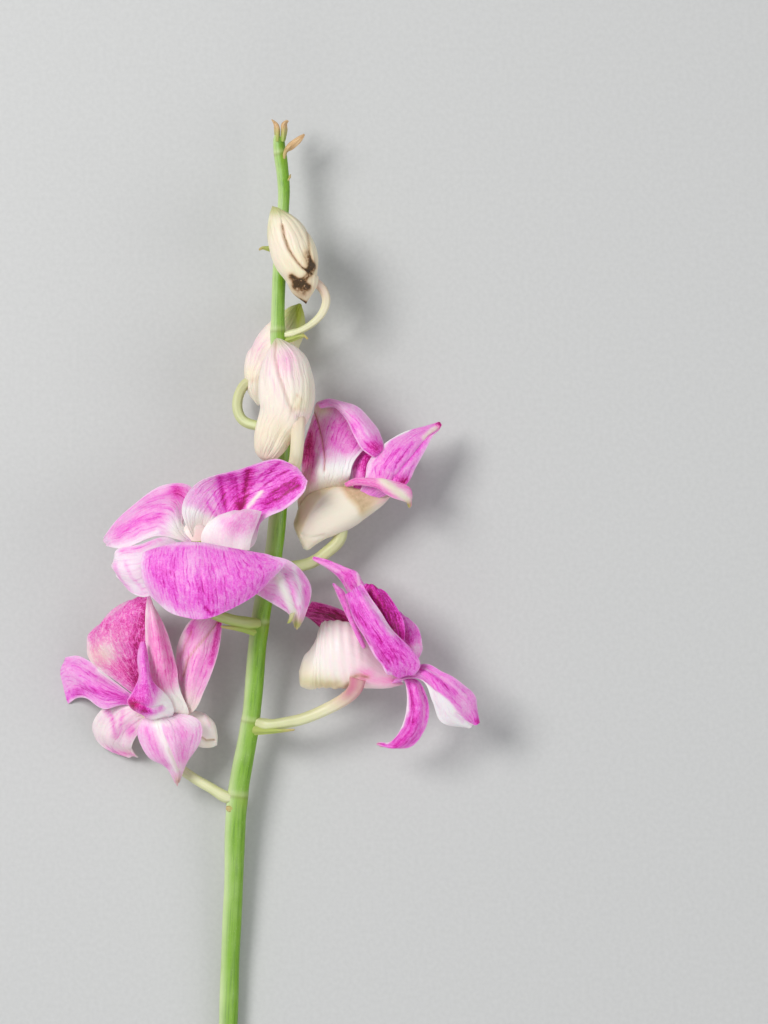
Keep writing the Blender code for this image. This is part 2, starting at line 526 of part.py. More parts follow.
def body(name, stations, steps, collection, grow=0.0):
    """A closed rounded body: a sphere whose rings are laid along a bent spine.

    Each ring is an ellipse, as wide and as deep as its station says. `grow` adds clearance all round.
    A mentum's rings all face the way from its first point to its last, and other rings follow the spine.
    """
    table = np.asarray(stations, dtype=float)
    spine = place(table)
    radii = table[:, 3:5] * MM
    bm = bmesh.new()
    bmesh.ops.create_uvsphere(bm, u_segments=steps[0], v_segments=steps[1], radius=1.0)
    ball = np.array([vertex.co[:] for vertex in bm.verts])
    t = np.arccos(np.clip(-ball[:, 2], -1.0, 1.0)) / math.pi
    weights = spline_weights(len(spine), t)
    centre = weights @ spine
    after = spline_weights(len(spine), t + LOOK_AHEAD) @ spine
    before = spline_weights(len(spine), t - LOOK_AHEAD) @ spine
    ahead = after - before
    if "mentum" in name:
        ahead = np.broadcast_to(spine[-1] - spine[0], ahead.shape)
    ahead = ahead / np.linalg.norm(ahead, axis=1, keepdims=True)
    side = np.cross(ahead, (0.0, 0.0, 1.0))
    side /= np.linalg.norm(side, axis=1, keepdims=True)
    deep = np.cross(side, ahead)
    size = np.maximum(weights @ radii, 0.0)
    ring = np.hypot(ball[:, 0], ball[:, 1])
    open_ring = ring > WELD
    turn = np.divide(ball[:, :2], ring[:, None], out=np.zeros((len(ring), 2)), where=open_ring[:, None])
    half_step = math.pi / steps[0]
    turn = turn @ np.array([
        [math.cos(half_step), math.sin(half_step)],
        [-math.sin(half_step), math.cos(half_step)],
    ])
    size += grow
    points = centre + side * (turn[:, :1] * size[:, :1]) + deep * (turn[:, 1:] * size[:, 1:])
    ends = np.where(t < 0.5, -grow, grow)[:, None] * ahead
    points = np.where(open_ring[:, None], points, centre + ends)
    if not grow:
        points[:, 2] = np.maximum(points[:, 2], 0.0)
    for vertex, point in zip(bm.verts, points):
        vertex.co = point
    bmesh.ops.triangulate(bm, faces=bm.faces)
    bmesh.ops.recalc_face_normals(bm, faces=bm.faces)
    mesh = bpy.data.meshes.new(name)
    bm.to_mesh(mesh)
    bm.free()
    return add_object(name, mesh, collection)


def tube(name, points, radii, collection):
    """A round tube with closed ends along points, with a radius at each, made a mesh."""
    data = bpy.data.curves.new(name, "CURVE")
    data.dimensions = "3D"
    data.bevel_depth = 1.0
    data.bevel_resolution = TUBE_SIDES
    data.use_fill_caps = True
    line = data.splines.new("POLY")
    line.points.add(len(points) - 1)
    for spot, point, radius in zip(line.points, points, radii):
        spot.co = (*point, 1.0)
        spot.radius = radius
    curve = bpy.data.objects.new(name, data)
    collection.objects.link(curve)
    bpy.context.view_layer.update()
    mesh = bpy.data.meshes.new_from_object(curve.evaluated_get(bpy.context.evaluated_depsgraph_get()))
    bpy.data.objects.remove(curve)
    bm = bmesh.new()
    bm.from_mesh(mesh)
    bmesh.ops.remove_doubles(bm, verts=bm.verts, dist=WELD)
    bmesh.ops.triangulate(bm, faces=bm.faces)
    bmesh.ops.recalc_face_normals(bm, faces=bm.faces)
    bm.to_mesh(mesh)
    bm.free()
    mesh.name = name
    return add_object(name, mesh, collection)


def stem(name, collection, grow=0.0):
    """The stalk: a tube whose radius swells a little at every node."""
    table = np.asarray(STEM)
    t = np.linspace(0.0, 1.0, STEM_RINGS)
    weights = spline_weights(len(table), t)
    points = weights @ place(table)
    radii = weights @ (table[:, 3] * MM / 2)
    along = (PLAN_CENTRE[1] - np.asarray(NODES_ALONG)) * CELL
    swell = np.exp(-(((points[:, 1:2] - along) / NODE_LENGTH) ** 2)).sum(axis=1)
    return tube(name, points, radii * (1 + NODE_SWELLING * swell) + grow, collection)


def pedicel(name, stations, collection, grow=0.0):
    """A flower stalk, which widens into the seat of the bloom where its stations say so."""
    table = np.asarray(stations)
    weights = spline_weights(len(table), np.linspace(0.0, 1.0, PEDICEL_RINGS))
    return tube(name, weights @ place(table), weights @ (table[:, 3] * MM) + grow, collection)


def make_cutter(name, collection):
    """A copy of a piece that is larger all round by the seat's clearance."""
    grow = SEAT_GAP + SEAT_SLACK
    title = name + "_clearance"
    if name == "stem":
        cutter = stem(title, collection, grow)
    elif name in PEDICELS:
        cutter = pedicel(title, PEDICELS[name], collection, grow)
    else:
        cutter = body(title, BODIES[name], BODY_STEPS, collection, grow)
    cutter.hide_render = True
    cutter.display_type = "WIRE"
    return cutter


def trim(piece, cutters):
    """Cuts a piece back to the clearance round what it grows on."""
    for cutter in cutters:
        cut = piece.modifiers.new("Seat", "BOOLEAN")
        cut.operation = "DIFFERENCE"
        cut.solver = "MANIFOLD" if piece.name in THIN_TIPPED else "EXACT"
        cut.object = cutter


def build():
    for old in list(bpy.data.objects):
        bpy.data.objects.remove(old)
    flower = bpy.data.collections.new("orchid_flower")
    guides = bpy.data.collections.new("clearances")
    bpy.context.scene.collection.children.link(flower)
    bpy.context.scene.collection.children.link(guides)

    pieces = {"stem": stem("stem", flower)}
    for name, stations in PEDICELS.items():
        pieces[name] = pedicel(name, stations, flower)
    for name, stations in BODIES.items():
        pieces[name] = body(name, stations, BODY_STEPS, flower)
    for name, rows in BLADES.items():
        pieces[name] = blade(name, rows, PETAL_THICKNESS, BLADE_STEPS, flower)
    for name, rows in BRACTS.items():
        pieces[name] = blade(name, rows, BRACT_THICKNESS, BRACT_STEPS, flower)

    seats = dict(SEATS)
    for name in BRACTS:
        seats[name] = ["stem"]
    for name in list(BLADES) + [name for name in BODIES if name.endswith("column")]:
        bloom = "_".join(name.split("_")[:2])
        seats[name] = CORES[bloom]
    hosts_used = sorted({host for hosts in seats.values() for host in hosts})
    cutters = {name: make_cutter(name, guides) for name in hosts_used}
    for name, hosts in seats.items():
        trim(pieces[name], [cutters[host] for host in hosts])


build()
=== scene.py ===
# %% [markdown]
# # A cut orchid stem, with four open blooms and three buds
#
# The stem lies on a pale floor and the camera looks straight down on it.
# This file gives every organ its fine shape and its living colour: the stalk, the pedicels, the
# closed buds, the chins of the open flowers and all their petals and sepals.
# Each cell makes one thing, and the text before it says what that thing is on the real plant.

# %% Load the frame
import math
from collections import namedtuple
from functools import partial

import bmesh
import bpy
import numpy as np
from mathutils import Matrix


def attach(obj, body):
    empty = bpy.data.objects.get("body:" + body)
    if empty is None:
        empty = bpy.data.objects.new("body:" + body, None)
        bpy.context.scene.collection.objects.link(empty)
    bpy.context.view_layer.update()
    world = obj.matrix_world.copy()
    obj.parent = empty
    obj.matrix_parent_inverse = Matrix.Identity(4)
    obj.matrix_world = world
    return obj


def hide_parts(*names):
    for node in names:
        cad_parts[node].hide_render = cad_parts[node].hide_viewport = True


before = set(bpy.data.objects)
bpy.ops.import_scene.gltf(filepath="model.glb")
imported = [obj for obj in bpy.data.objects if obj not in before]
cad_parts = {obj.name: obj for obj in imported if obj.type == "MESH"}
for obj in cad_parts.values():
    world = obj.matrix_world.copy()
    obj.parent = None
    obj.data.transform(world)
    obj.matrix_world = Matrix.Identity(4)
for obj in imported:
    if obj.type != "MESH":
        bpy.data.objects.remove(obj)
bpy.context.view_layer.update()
print("organs in the frame:", len(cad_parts))

# %% [markdown]
# ## Where things are
#
# A flower has no straight edge to measure from, so every organ is drawn on a plan.
# A point of the plan is (across, along, height): the first two count quarter millimetres and the
# height is in millimetres above the floor. The stem's organs in the frame were laid out on the same
# plan, so a petal drawn with nearly the same points covers its solid, and more points in between
# only make it smoother.

# %% The plan
CELL = 0.00025                  # one step across or along the plan, in metres
MM = 0.001
PLAN_CENTRE = (268.1, 619.1)    # the plan's point over the frame's origin


def place(points):
    """Plan points to metres: across and along are counted from the plan's centre, in quarter millimetres."""
    p = np.asarray(points, dtype=float)
    x = (p[..., 0] - PLAN_CENTRE[0]) * CELL
    y = (PLAN_CENTRE[1] - p[..., 1]) * CELL
    return np.stack([x, y, p[..., 2] * MM], axis=-1)


def plan_of(points):
    """Where points in metres lie on the plan, seen from above."""
    return points[..., 0] / CELL + PLAN_CENTRE[0], PLAN_CENTRE[1] - points[..., 1] / CELL


print("the plan's first corner lies at", place((0, 0, 0)).round(4))

# %% [markdown]
# ## Camera
#
# The photographer stood well back from the flowers, so their lines hardly converge.
# A long lens at a metre and a half does the same. It looks straight down, because the stem lies,
# and its sensor is fitted to the height of the picture, which shows 1024 steps of the plan.

# %% Camera
PICTURE_WIDE = 768              # in steps of the plan
PICTURE_HIGH = 1024
DISTANCE = 1.55
MIDDLE_HEIGHT = 0.020           # the height of most petals
SENSOR = 24.0

camera_data = bpy.data.cameras.new("camera")
camera_data.sensor_fit = "VERTICAL"
camera_data.sensor_height = SENSOR
camera_data.lens = SENSOR * DISTANCE / (PICTURE_HIGH * CELL)
camera = bpy.data.objects.new("camera", camera_data)
middle = place((PICTURE_WIDE / 2, PICTURE_HIGH / 2, 0))
camera.location = (middle[0], middle[1], MIDDLE_HEIGHT + DISTANCE)
bpy.context.scene.collection.objects.link(camera)
bpy.context.scene.camera = camera
print("lens in mm:", round(camera_data.lens, 1))

# %% [markdown]
# ## Light and floor
#
# Petals are thin and matt. A soft light from the upper left draws their folds with gentle shadows,
# a weaker one from the right and one from beyond the cut end keep the shadows open, and a pale sky
# fills what is left. The floor is plain and a little darker than the white of the petals, so that
# they stand out.

# %% Lights
SKY_COLOUR = (0.80, 0.83, 0.88, 1.0)
SKY_STRENGTH = 0.39


def soft_light(name, location, size, power):
    """A square area light at a point, turned to the middle of the stem."""
    data = bpy.data.lights.new(name, "AREA")
    data.size = size
    data.energy = power
    lamp = bpy.data.objects.new(name, data)
    lamp.location = location
    aim = -lamp.location.normalized()
    lamp.rotation_euler = aim.to_track_quat("-Z", "Y").to_euler()
    bpy.context.scene.collection.objects.link(lamp)
    print(name, power, "W")


soft_light("key", location=(-0.55, 0.35, 0.80), size=0.40, power=7.9)
soft_light("fill", location=(0.80, -0.10, 0.60), size=0.60, power=2.5)
soft_light("low", location=(0.0, -0.90, 0.35), size=0.50, power=2.0)

sky = bpy.data.worlds.new("sky")
sky.use_nodes = True
background = sky.node_tree.nodes["Background"].inputs
background["Color"].default_value = SKY_COLOUR
background["Strength"].default_value = SKY_STRENGTH
bpy.context.scene.world = sky
bpy.context.scene.view_settings.view_transform = "Standard"

# %% [markdown]
# ## Material tools
#
# A colour is written as a painter reads it from a screen, 0 to 255, and turned into the linear
# light that the shader wants. What a node puts out is wrapped in a small class that knows sums: a
# plus or a times between two values adds the Math node for it, so a material reads like a formula.

# %% Values and sums
def hue(red, green, blue):
    """A screen colour, 0 to 255 each, as linear light: the standard curve that undoes the screen's gamma."""
    c = np.array([red, green, blue]) / 255
    linear = np.where(c <= 0.04045, c / 12.92, ((c + 0.055) / 1.055) ** 2.4)
    return (*linear.tolist(), 1.0)


def math_node(operation, turned_round=False):
    """A method that adds the Math node for one operation on a value and another value or number."""
    def method(self, other):
        first, second = (other, self) if turned_round else (self, other)
        return step(self.tree, "Math", {0: first, 1: second}, operation=operation)
    return method


class Value:
    """What a node puts out: a number, a colour or a direction that may differ from point to point."""

    def __init__(self, socket):
        self.socket = socket
        self.tree = socket.id_data

    __add__ = math_node("ADD")
    __mul__ = math_node("MULTIPLY")
    __sub__ = math_node("SUBTRACT")
    __rsub__ = math_node("SUBTRACT", turned_round=True)
    __pow__ = math_node("POWER")

    def held(self):
        """The same sum, kept between 0 and 1 by its own node."""
        self.socket.node.use_clamp = True
        return self


def feed(value, target):
    """Joins a value to a socket, or writes a plain number, colour or direction on it."""
    if isinstance(value, Value):
        value.tree.links.new(value.socket, target)
    else:
        target.default_value = value


def step(tree, kind, inputs=None, out=0, **settings):
    """Adds one shader node with its settings and inputs, and gives back what it puts out."""
    item = tree.nodes.new("ShaderNode" + kind)
    for key, value in settings.items():
        setattr(item, key, value)
    for key, value in (inputs or {}).items():
        feed(value, item.inputs[key])
    return Value(item.outputs[out])


# %% Patterns and colours
def on_leaf(tree):
    """The piece's own map in centimetres: across first, then along."""
    return step(tree, "UVMap", uv_map="leaf")


def in_space(tree):
    """The place of each point in metres, as the piece's own coordinates have it."""
    return step(tree, "TexCoord", out="Object")


def mark(tree, name):
    """The number that a piece carries at each of its points under this name."""
    return step(tree, "Attribute", out="Fac", attribute_name=name)


def drawn_out(where, across, along):
    """A place with so many features a unit across and along, which draws a pattern out lengthwise."""
    return step(where.tree, "Mapping", {"Vector": where, "Scale": (across, along, 1.0)})


def noise(where, scale, detail, roughness=0.5, out="Fac"):
    """Blender's noise at a place."""
    inputs = {"Vector": where, "Scale": scale, "Detail": detail, "Roughness": roughness}
    return step(where.tree, "TexNoise", inputs, out=out)


def between(value, low, high, at_low=0.0, at_high=1.0):
    """Goes in a straight line from one number, at low, to another, at high, and stays there."""
    inputs = {"Value": value, "From Min": low, "From Max": high, "To Min": at_low, "To Max": at_high}
    return step(value.tree, "MapRange", inputs)


def bumps(height, strength, distance):
    """The direction of a surface that is bumpy by this height."""
    return step(height.tree, "Bump", {"Height": height, "Strength": strength, "Distance": distance})


def blend_colours(share, first, second):
    """A colour between two: the first where share is 0 and the second where it is 1."""
    return step(share.tree, "Mix", {0: share, 6: first, 7: second}, out=2, data_type="RGBA")


def ramp(value, stops):
    """A colour that runs through the stops, each a place from 0 to 1 and a colour."""
    colour = step(value.tree, "ValToRGB", {0: value}, out="Color")
    elements = colour.socket.node.color_ramp.elements
    while len(elements) < len(stops):
        elements.new(0.5)
    for element, (position, shade) in zip(elements, stops):
        element.position = position
        element.color = shade
    return colour


# %% Groups and materials
def new_group(name, inputs, outputs):
    """An empty node group: its tree, the values it is given and the sockets that it has to feed."""
    tree = bpy.data.node_groups.new(name, "ShaderNodeTree")
    for label, (kind, default) in inputs.items():
        item = tree.interface.new_socket(label, in_out="INPUT", socket_type="NodeSocket" + kind)
        if default is not None:
            item.default_value = default
    for label, kind in outputs.items():
        tree.interface.new_socket(label, in_out="OUTPUT", socket_type="NodeSocket" + kind)
    given = tree.nodes.new("NodeGroupInput").outputs
    print("group", name, "with inputs", ", ".join(inputs))
    return tree, {label: Value(given[label]) for label in inputs}, tree.nodes.new("NodeGroupOutput").inputs


def use_group(tree, group, inputs):
    """Places a group in a material with this material's own values, and gives back all its outputs."""
    item = tree.nodes.new("ShaderNodeGroup")
    item.node_tree = group
    for key, value in inputs.items():
        feed(value, item.inputs[key])
    return {socket.name: Value(socket) for socket in item.outputs}


def new_finish(name, plain):
    """A material with plain values on its shader's sockets: itself, its tree and those sockets."""
    finish = bpy.data.materials.new(name)
    finish.use_nodes = True
    shader = finish.node_tree.nodes["Principled BSDF"].inputs
    for key, value in plain.items():
        shader[key].default_value = value
    print("finish", name)
    return finish, finish.node_tree, shader


# %% Floor
FLOOR_SIDE = 6.0
FLOOR_SHADES = [(0.3, hue(198, 198, 196)), (0.7, hue(203, 203, 201))]
FLOOR_GRAIN = 900.0             # features of its faint paper grain in a metre


def make_floor():
    """A flat square far larger than the stem, in a plain pale finish with a faint paper grain."""
    data = bpy.data.meshes.new("floor")
    corners = np.array([(-1, -1, 0), (1, -1, 0), (1, 1, 0), (-1, 1, 0)]) * FLOOR_SIDE / 2
    data.from_pydata(corners.tolist(), [], [(0, 1, 2, 3)])
    floor = bpy.data.objects.new("floor", data)
    bpy.context.scene.collection.objects.link(floor)
    finish, tree, shader = new_finish("pale_floor", {"Roughness": 0.85})
    feed(ramp(noise(in_space(tree), FLOOR_GRAIN, 3.0), FLOOR_SHADES), shader["Base Color"])
    data.materials.append(finish)
    print("floor", FLOOR_SIDE, "m wide")


make_floor()

# %% [markdown]
# ## What gives a petal its colour
#
# Petal tissue is clear cells over white air gaps. A purple pigment sits in some of the cells, so a
# petal's colour runs from cream white, where there is none, over lilac and magenta to crimson.
# A piece therefore carries numbers and not colours: how much pigment each point holds, whether it
# leans to rose, and how green, cream or brown it is. The same few nodes turn them into colour for
# every organ, as the plant does.
#
# Finer than that is the grain of the tissue: veins that run from the base to the tip and join in a
# net, soft streaks between them, and a mottling of single cells. The first group works these out.
# Its counts of features are to the centimetre on the leaf's own map, and to the metre in space.

# %% Node group: the grain of petal tissue
WANDER = (0.14, 0.20, 0.0)      # how far the veins stray from straight, in centimetres
FIBRE_SHARE = 2.2               # how much each pattern counts in the streaks and the mottling
FOLD_SHARE = 0.8
PATCH_SHARE = 1.8
CELL_SHARE = 1.6
VEIN_THIN = 5.0                 # the power that narrows a wave's crest to a vein
NET_LINE = 0.15                 # half the width of a line of the net, as a share of its mesh
LEAST_ON_LINES = 0.15           # pigment that veins show where the tissue round them has none


def grain_group():
    """Pigment times 1 plus streaks and mottling, and a little more or less of it on the veins and the net."""
    tree, given, made = new_group(
        "tissue_grain",
        {
            "Map": ("Vector", None), "Spot": ("Vector", None),
            "Pigment": ("Float", 0.5), "Streaks": ("Float", 0.5), "Mottling": ("Float", 0.4),
            "Veins": ("Float", 0.2), "Net": ("Float", 0.0),
        },
        {"Pigment": "Float", "Lines": "Float", "Cells": "Float", "Folds": "Float", "Patches": "Float"},
    )
    straying = noise(given["Map"], 3.0, 2.0, out="Color")
    straying = step(tree, "VectorMath", {0: straying, 1: WANDER}, operation="MULTIPLY")
    bent = step(tree, "VectorMath", {0: given["Map"], 1: straying}, operation="ADD")

    folds = noise(drawn_out(bent, 5.0, 0.5), 1.0, 2.0)
    fibres = (noise(drawn_out(bent, 19.0, 3.4), 1.0, 3.0) - 0.5) * FIBRE_SHARE
    streaks = fibres + (folds - 0.5) * FOLD_SHARE
    patches = noise(given["Spot"], 800.0, 4.0, 0.6)
    cells = noise(given["Spot"], 2600.0, 2.0)
    mottling = (patches - 0.5) * PATCH_SHARE + (cells - 0.5) * CELL_SHARE

    banded = {"Scale": 2.5, "Distortion": 5.0, "Detail": 3.0, "Detail Scale": 2.2}
    banded["Vector"] = drawn_out(bent, 1.0, 0.30)
    band = step(tree, "TexWave", banded, out="Fac", wave_type="BANDS", bands_direction="X")
    comes_and_goes = between(noise(drawn_out(bent, 7.0, 2.6), 1.0, 2.0), 0.42, 0.62)
    vein = band**VEIN_THIN * comes_and_goes
    meshes = {"Vector": drawn_out(bent, 20.0, 6.5), "Scale": 1.0}
    from_edge = step(tree, "TexVoronoi", meshes, out="Distance", feature="DISTANCE_TO_EDGE")
    net = between(from_edge, 0.0, NET_LINE, 1.0, 0.0)

    grainy = given["Pigment"] * (mottling * given["Mottling"] + streaks * given["Streaks"] + 1.0)
    lines = vein * given["Veins"] + net * given["Net"]
    on_lines = lines * (given["Pigment"] + LEAST_ON_LINES)
    feed((grainy + on_lines).held(), made["Pigment"])
    feed(lines, made["Lines"])
    feed(cells, made["Cells"])
    feed(folds + fibres * 0.12, made["Folds"])
    feed(patches, made["Patches"])
    return tree


GRAIN = grain_group()

# %% [markdown]
# The second group turns the numbers into a colour. Cream only shows where pigment leaves room for
# it, green lies over both, and brown is tan where there is little of it and dark where the tissue
# has rotted.

# %% Node group: from pigment to colour
VIOLET_STOPS = [
    (0.00, hue(250, 246, 244)), (0.18, hue(246, 211, 236)), (0.38, hue(241, 158, 223)),
    (0.58, hue(234, 98, 212)), (0.78, hue(210, 32, 172)), (1.00, hue(160, 4, 98)),
]
ROSE_STOPS = [
    (0.00, hue(250, 242, 236)), (0.20, hue(248, 206, 220)), (0.42, hue(247, 150, 200)),
    (0.62, hue(242, 98, 180)), (0.80, hue(214, 24, 130)), (1.00, hue(150, 2, 68)),
]
BROWN_STOPS = [(0.30, hue(200, 154, 102)), (0.60, hue(146, 106, 62)), (1.00, hue(74, 54, 28))]
BROWN_COVERS = 1.4              # how fast brown hides what lies below it


def colour_group():
    """Two ramps give violet and rose tissue; cream, green and a ramp of browns are laid over."""
    tree, given, made = new_group(
        "tissue_colour",
        {name: ("Float", 0.0) for name in ("Pigment", "Rose", "Cream", "Green", "Brown")},
        {"Color": "Color"},
    )
    pigment, brown = given["Pigment"], given["Brown"]
    tone = blend_colours(given["Rose"], ramp(pigment, VIOLET_STOPS), ramp(pigment, ROSE_STOPS))
    tone = blend_colours(given["Cream"] * (1.0 - pigment).held() ** 1.5, tone, hue(243, 231, 198))
    tone = blend_colours(given["Green"], tone, hue(168, 178, 62))
    tone = blend_colours((brown * BROWN_COVERS).held(), tone, ramp(brown, BROWN_STOPS))
    feed(tone, made["Color"])
    return tree


COLOUR = colour_group()

# %% [markdown]
# ## Finishes of living tissue
#
# All of them share one recipe and differ in its measures. Petals are mottled and streaked, sepals
# have a little less mottling, and the lips show more of the net. The faded petal's net takes
# pigment away, so it is pale. A bud's skin is wrinkled lengthwise, and the chins and columns are
# smooth wax.
# Light passes a little way into the tissue and comes out pink, which subsurface scattering does,
# and a faint sheen stands for the tiny bulging cells that make an orchid's petals glisten.

# %% Petal tissue
BUMP_HIGH = 0.00012             # the height of a full bump, in metres
SCATTER = 0.0012                # how far light wanders in the tissue, in metres
RAGGED_AT = 0.46                # patches above this deepen a brown spot and those below eat it away
RAGGED = 5.0
VEIN_SUNK = 2.5                 # how deep veins lie in the bumps, next to the cells and the folds
CELL_RAISED = 0.5
SHINE_SPREAD = 0.08             # roughness differs by this much from cell to cell


def tissue(name, streaks, mottling, veins, net, folds, roughness, relief):
    """A material from the two groups: pigment with its grain, its colour, and bumps along the veins."""
    finish, tree, shader = new_finish(name, {
        "Subsurface Weight": 0.22, "Subsurface Radius": (1.0, 0.45, 0.6), "Subsurface Scale": SCATTER,
        "Sheen Weight": 0.06, "Sheen Roughness": 0.4, "Specular IOR Level": 0.35,
    })
    grain = use_group(tree, GRAIN, {
        "Map": on_leaf(tree), "Spot": in_space(tree), "Pigment": mark(tree, "pigment"),
        "Streaks": streaks, "Mottling": mottling, "Veins": veins, "Net": net,
    })
    brown = mark(tree, "brown")
    ragged = (grain["Patches"] - RAGGED_AT) * RAGGED * brown**2.0 + 1.0
    tone = use_group(tree, COLOUR, {
        "Pigment": grain["Pigment"], "Rose": mark(tree, "rose"), "Cream": mark(tree, "cream"),
        "Green": mark(tree, "green"), "Brown": (brown * ragged).held(),
    })
    high = grain["Cells"] * CELL_RAISED - grain["Lines"] * VEIN_SUNK + grain["Folds"] * folds
    shine = between(grain["Cells"], 0.3, 0.7, roughness + SHINE_SPREAD, roughness - SHINE_SPREAD)
    feed(tone["Color"], shader["Base Color"])
    feed(bumps(high, relief, BUMP_HIGH), shader["Normal"])
    feed(shine, shader["Roughness"])
    return finish


PETAL = tissue("petal_tissue", 0.34, 0.40, veins=0.32, net=0.08, folds=3.5, roughness=0.48, relief=0.80)
SEPAL = tissue("sepal_tissue", 0.36, 0.32, veins=0.30, net=0.07, folds=4.0, roughness=0.48, relief=0.80)
LIP = tissue("lip_tissue", 0.25, 0.40, veins=0.14, net=0.20, folds=2.0, roughness=0.46, relief=0.50)
FADED = tissue("faded_tissue", 0.40, 0.52, veins=0.12, net=-0.26, folds=4.0, roughness=0.55, relief=0.90)
SKIN = tissue("bud_skin", 0.60, 0.36, veins=0.50, net=0.0, folds=9.0, roughness=0.44, relief=0.55)
CHIN = tissue("chin_skin", 0.25, 0.25, veins=0.06, net=0.0, folds=4.0, roughness=0.42, relief=0.35)
WAX = tissue("column_wax", 0.20, 0.20, veins=0.05, net=0.0, folds=1.0, roughness=0.35, relief=0.15)

# %% [markdown]
# ## A smooth curve through drawn points
#
# Every organ is drawn with a few points, and a smooth cubic curve is run through them.
# For a surface the same curve is used twice, across and along, which is a net of curves: a petal
# could also be sculpted or inflated, but a net keeps its outline where it was drawn.

# %% Curves and soft shapes
def spline_weights(count, t):
    """Weights of count points at each t from 0 to 1, for the cubic that passes through every point.

    Between two points the four nearest ones count. Past an end the curve runs on as if mirrored there.
    """
    where = np.clip(t, 0.0, 1.0) * (count - 1)
    start = np.minimum(where.astype(int), count - 2)
    f = where - start
    cubic = [
        (-f + 2 * f**2 - f**3) / 2,
        (2 - 5 * f**2 + 3 * f**3) / 2,
        (f + 4 * f**2 - 3 * f**3) / 2,
        (-(f**2) + f**3) / 2,
    ]
    wide = np.zeros((len(f), count + 2))
    for k, part in enumerate(cubic):
        wide[np.arange(len(f)), start + k] += part
    weights = wide[:, 1:-1].copy()
    weights[:, 0] += 2 * wide[:, 0]
    weights[:, 1] -= wide[:, 0]
    weights[:, -1] += 2 * wide[:, -1]
    weights[:, -2] -= wide[:, -1]
    return weights


def rise(x, low, high):
    """Goes from 0 at low to 1 at high and has no corner at either: f squared times (3 minus 2 f)."""
    f = np.clip((x - low) / (high - low), 0.0, 1.0)
    return f * f * (3 - 2 * f)


def bell(x):
    """1 at 0 and down to about a third at 1 and -1: e to the power of minus x squared."""
    return np.exp(-(x**2))


def off_line(x, y, path):
    """How far points lie from a path of straight runs: positive on the right of one who walks along it."""
    nearest = np.full(np.shape(x), np.inf)
    for (x0, y0), (x1, y1) in zip(path, path[1:]):
        run_x, run_y = x1 - x0, y1 - y0
        share = np.clip(((x - x0) * run_x + (y - y0) * run_y) / (run_x**2 + run_y**2), 0.0, 1.0)
        off_x, off_y = x - x0 - share * run_x, y - y0 - share * run_y
        sign = np.where(run_x * off_y - run_y * off_x < 0, -1.0, 1.0)
        distance = np.hypot(off_x, off_y) * sign
        nearest = np.where(np.abs(distance) < np.abs(nearest), distance, nearest)
    return nearest


def unit(vectors):
    """The same directions, each one long."""
    return vectors / np.maximum(np.linalg.norm(vectors, axis=-1, keepdims=True), 1e-12)


def length_of(points):
    """The length of a line of points: the sum of its steps."""
    return np.linalg.norm(np.diff(points, axis=0), axis=-1).sum()


print("a bell one width away keeps", round(float(bell(1.0)), 2))

# %% [markdown]
# ## Strokes
#
# Pigment, cream, green, brown and the relief are all laid on in the same few ways, as a painter
# would: a spot, a line, a fade from one place to another, a tinted margin, or a wash along the leaf.
# Each stroke is a function of where it is asked for: u across the leaf, v along it, and x and y on
# the plan, which is where a mark is seen from above. Amounts of strokes on one organ add up.

# %% Strokes
Where = namedtuple("Where", "u v x y")


def spot(amount, middle, size):
    """A soft spot on the plan: full in its middle, and a third at its size across or along from it."""
    return lambda at: amount * bell((at.x - middle[0]) / size[0]) * bell((at.y - middle[1]) / size[1])


def line(amount, path, width):
    """A soft line along a path on the plan: full on the path, and a third at width from it."""
    return lambda at: amount * bell(off_line(at.x, at.y, path) / width)


def lap(amount, path, width, reach):
    """A fold's edge: it rises on the right of a path within width and sinks again over reach."""
    def stroke(at):
        off = off_line(at.x, at.y, path)
        return amount * rise(off, -width, width) * bell(np.maximum(off, 0.0) / reach)
    return stroke


def fade(amount, start, end):
    """Nothing at one place on the plan, the full amount at another, and the same along lines across."""
    run_x, run_y = end[0] - start[0], end[1] - start[1]
    square = run_x**2 + run_y**2
    return lambda at: amount * rise((at.x - start[0]) * run_x + (at.y - start[1]) * run_y, 0.0, square)


def beyond(amount, path, width):
    """The full amount on the right of a path, nothing on its left, and a soft border of width each way."""
    return lambda at: amount * rise(off_line(at.x, at.y, path), -width, width)


def rim(amount, low, high=1.0):
    """A tint of both margins, which rises as u goes from low to high on either side."""
    return lambda at: amount * rise(np.abs(at.u), low, high)


def side(amount, low, high):
    """A tint of one side: it rises as u goes from low to high."""
    return lambda at: amount * rise(at.u, low, high)


def wash(amount, low, high):
    """A tint along the leaf: it rises as v goes from low to high."""
    return lambda at: amount * rise(at.v, low, high)


def both(first, second):
    """Two strokes multiplied: the first shows only where the second is."""
    return lambda at: first(at) * second(at)


def wave(amount, across, along, shift=0.0):
    """A gentle wave over the whole leaf, a cosine of across times u plus along times v."""
    return lambda at: amount * np.cos(across * at.u + along * at.v + shift)


def frill(amount, along, low=0.6):
    """A wavy margin: a sine of along times v that grows from |u| = low outwards."""
    return lambda at: amount * np.sin(along * at.v) * rise(np.abs(at.u), low, 1.0)


def total(strokes, at):
    """All strokes on one organ added up. A plain number in the list is the same everywhere."""
    result = np.zeros_like(at.x)
    for stroke in strokes:
        result = result + (stroke(at) if callable(stroke) else stroke)
    return result


print("strokes are ready")

# %% [markdown]
# ## Putting a surface into Blender
#
# All meshes here are closed shells: numpy works out the points and the list of faces, and one
# function hands them over. It also stores what the finish needs at each point, such as pigment,
# and a map in centimetres, so that veins are as far apart on a small sepal as on a large petal.

# %% From arrays to a piece
MARKS = ("pigment", "rose", "cream", "green", "brown")
SHARP_EDGE = math.radians(50)
CENTIMETRE = 0.01
made_faces = {}


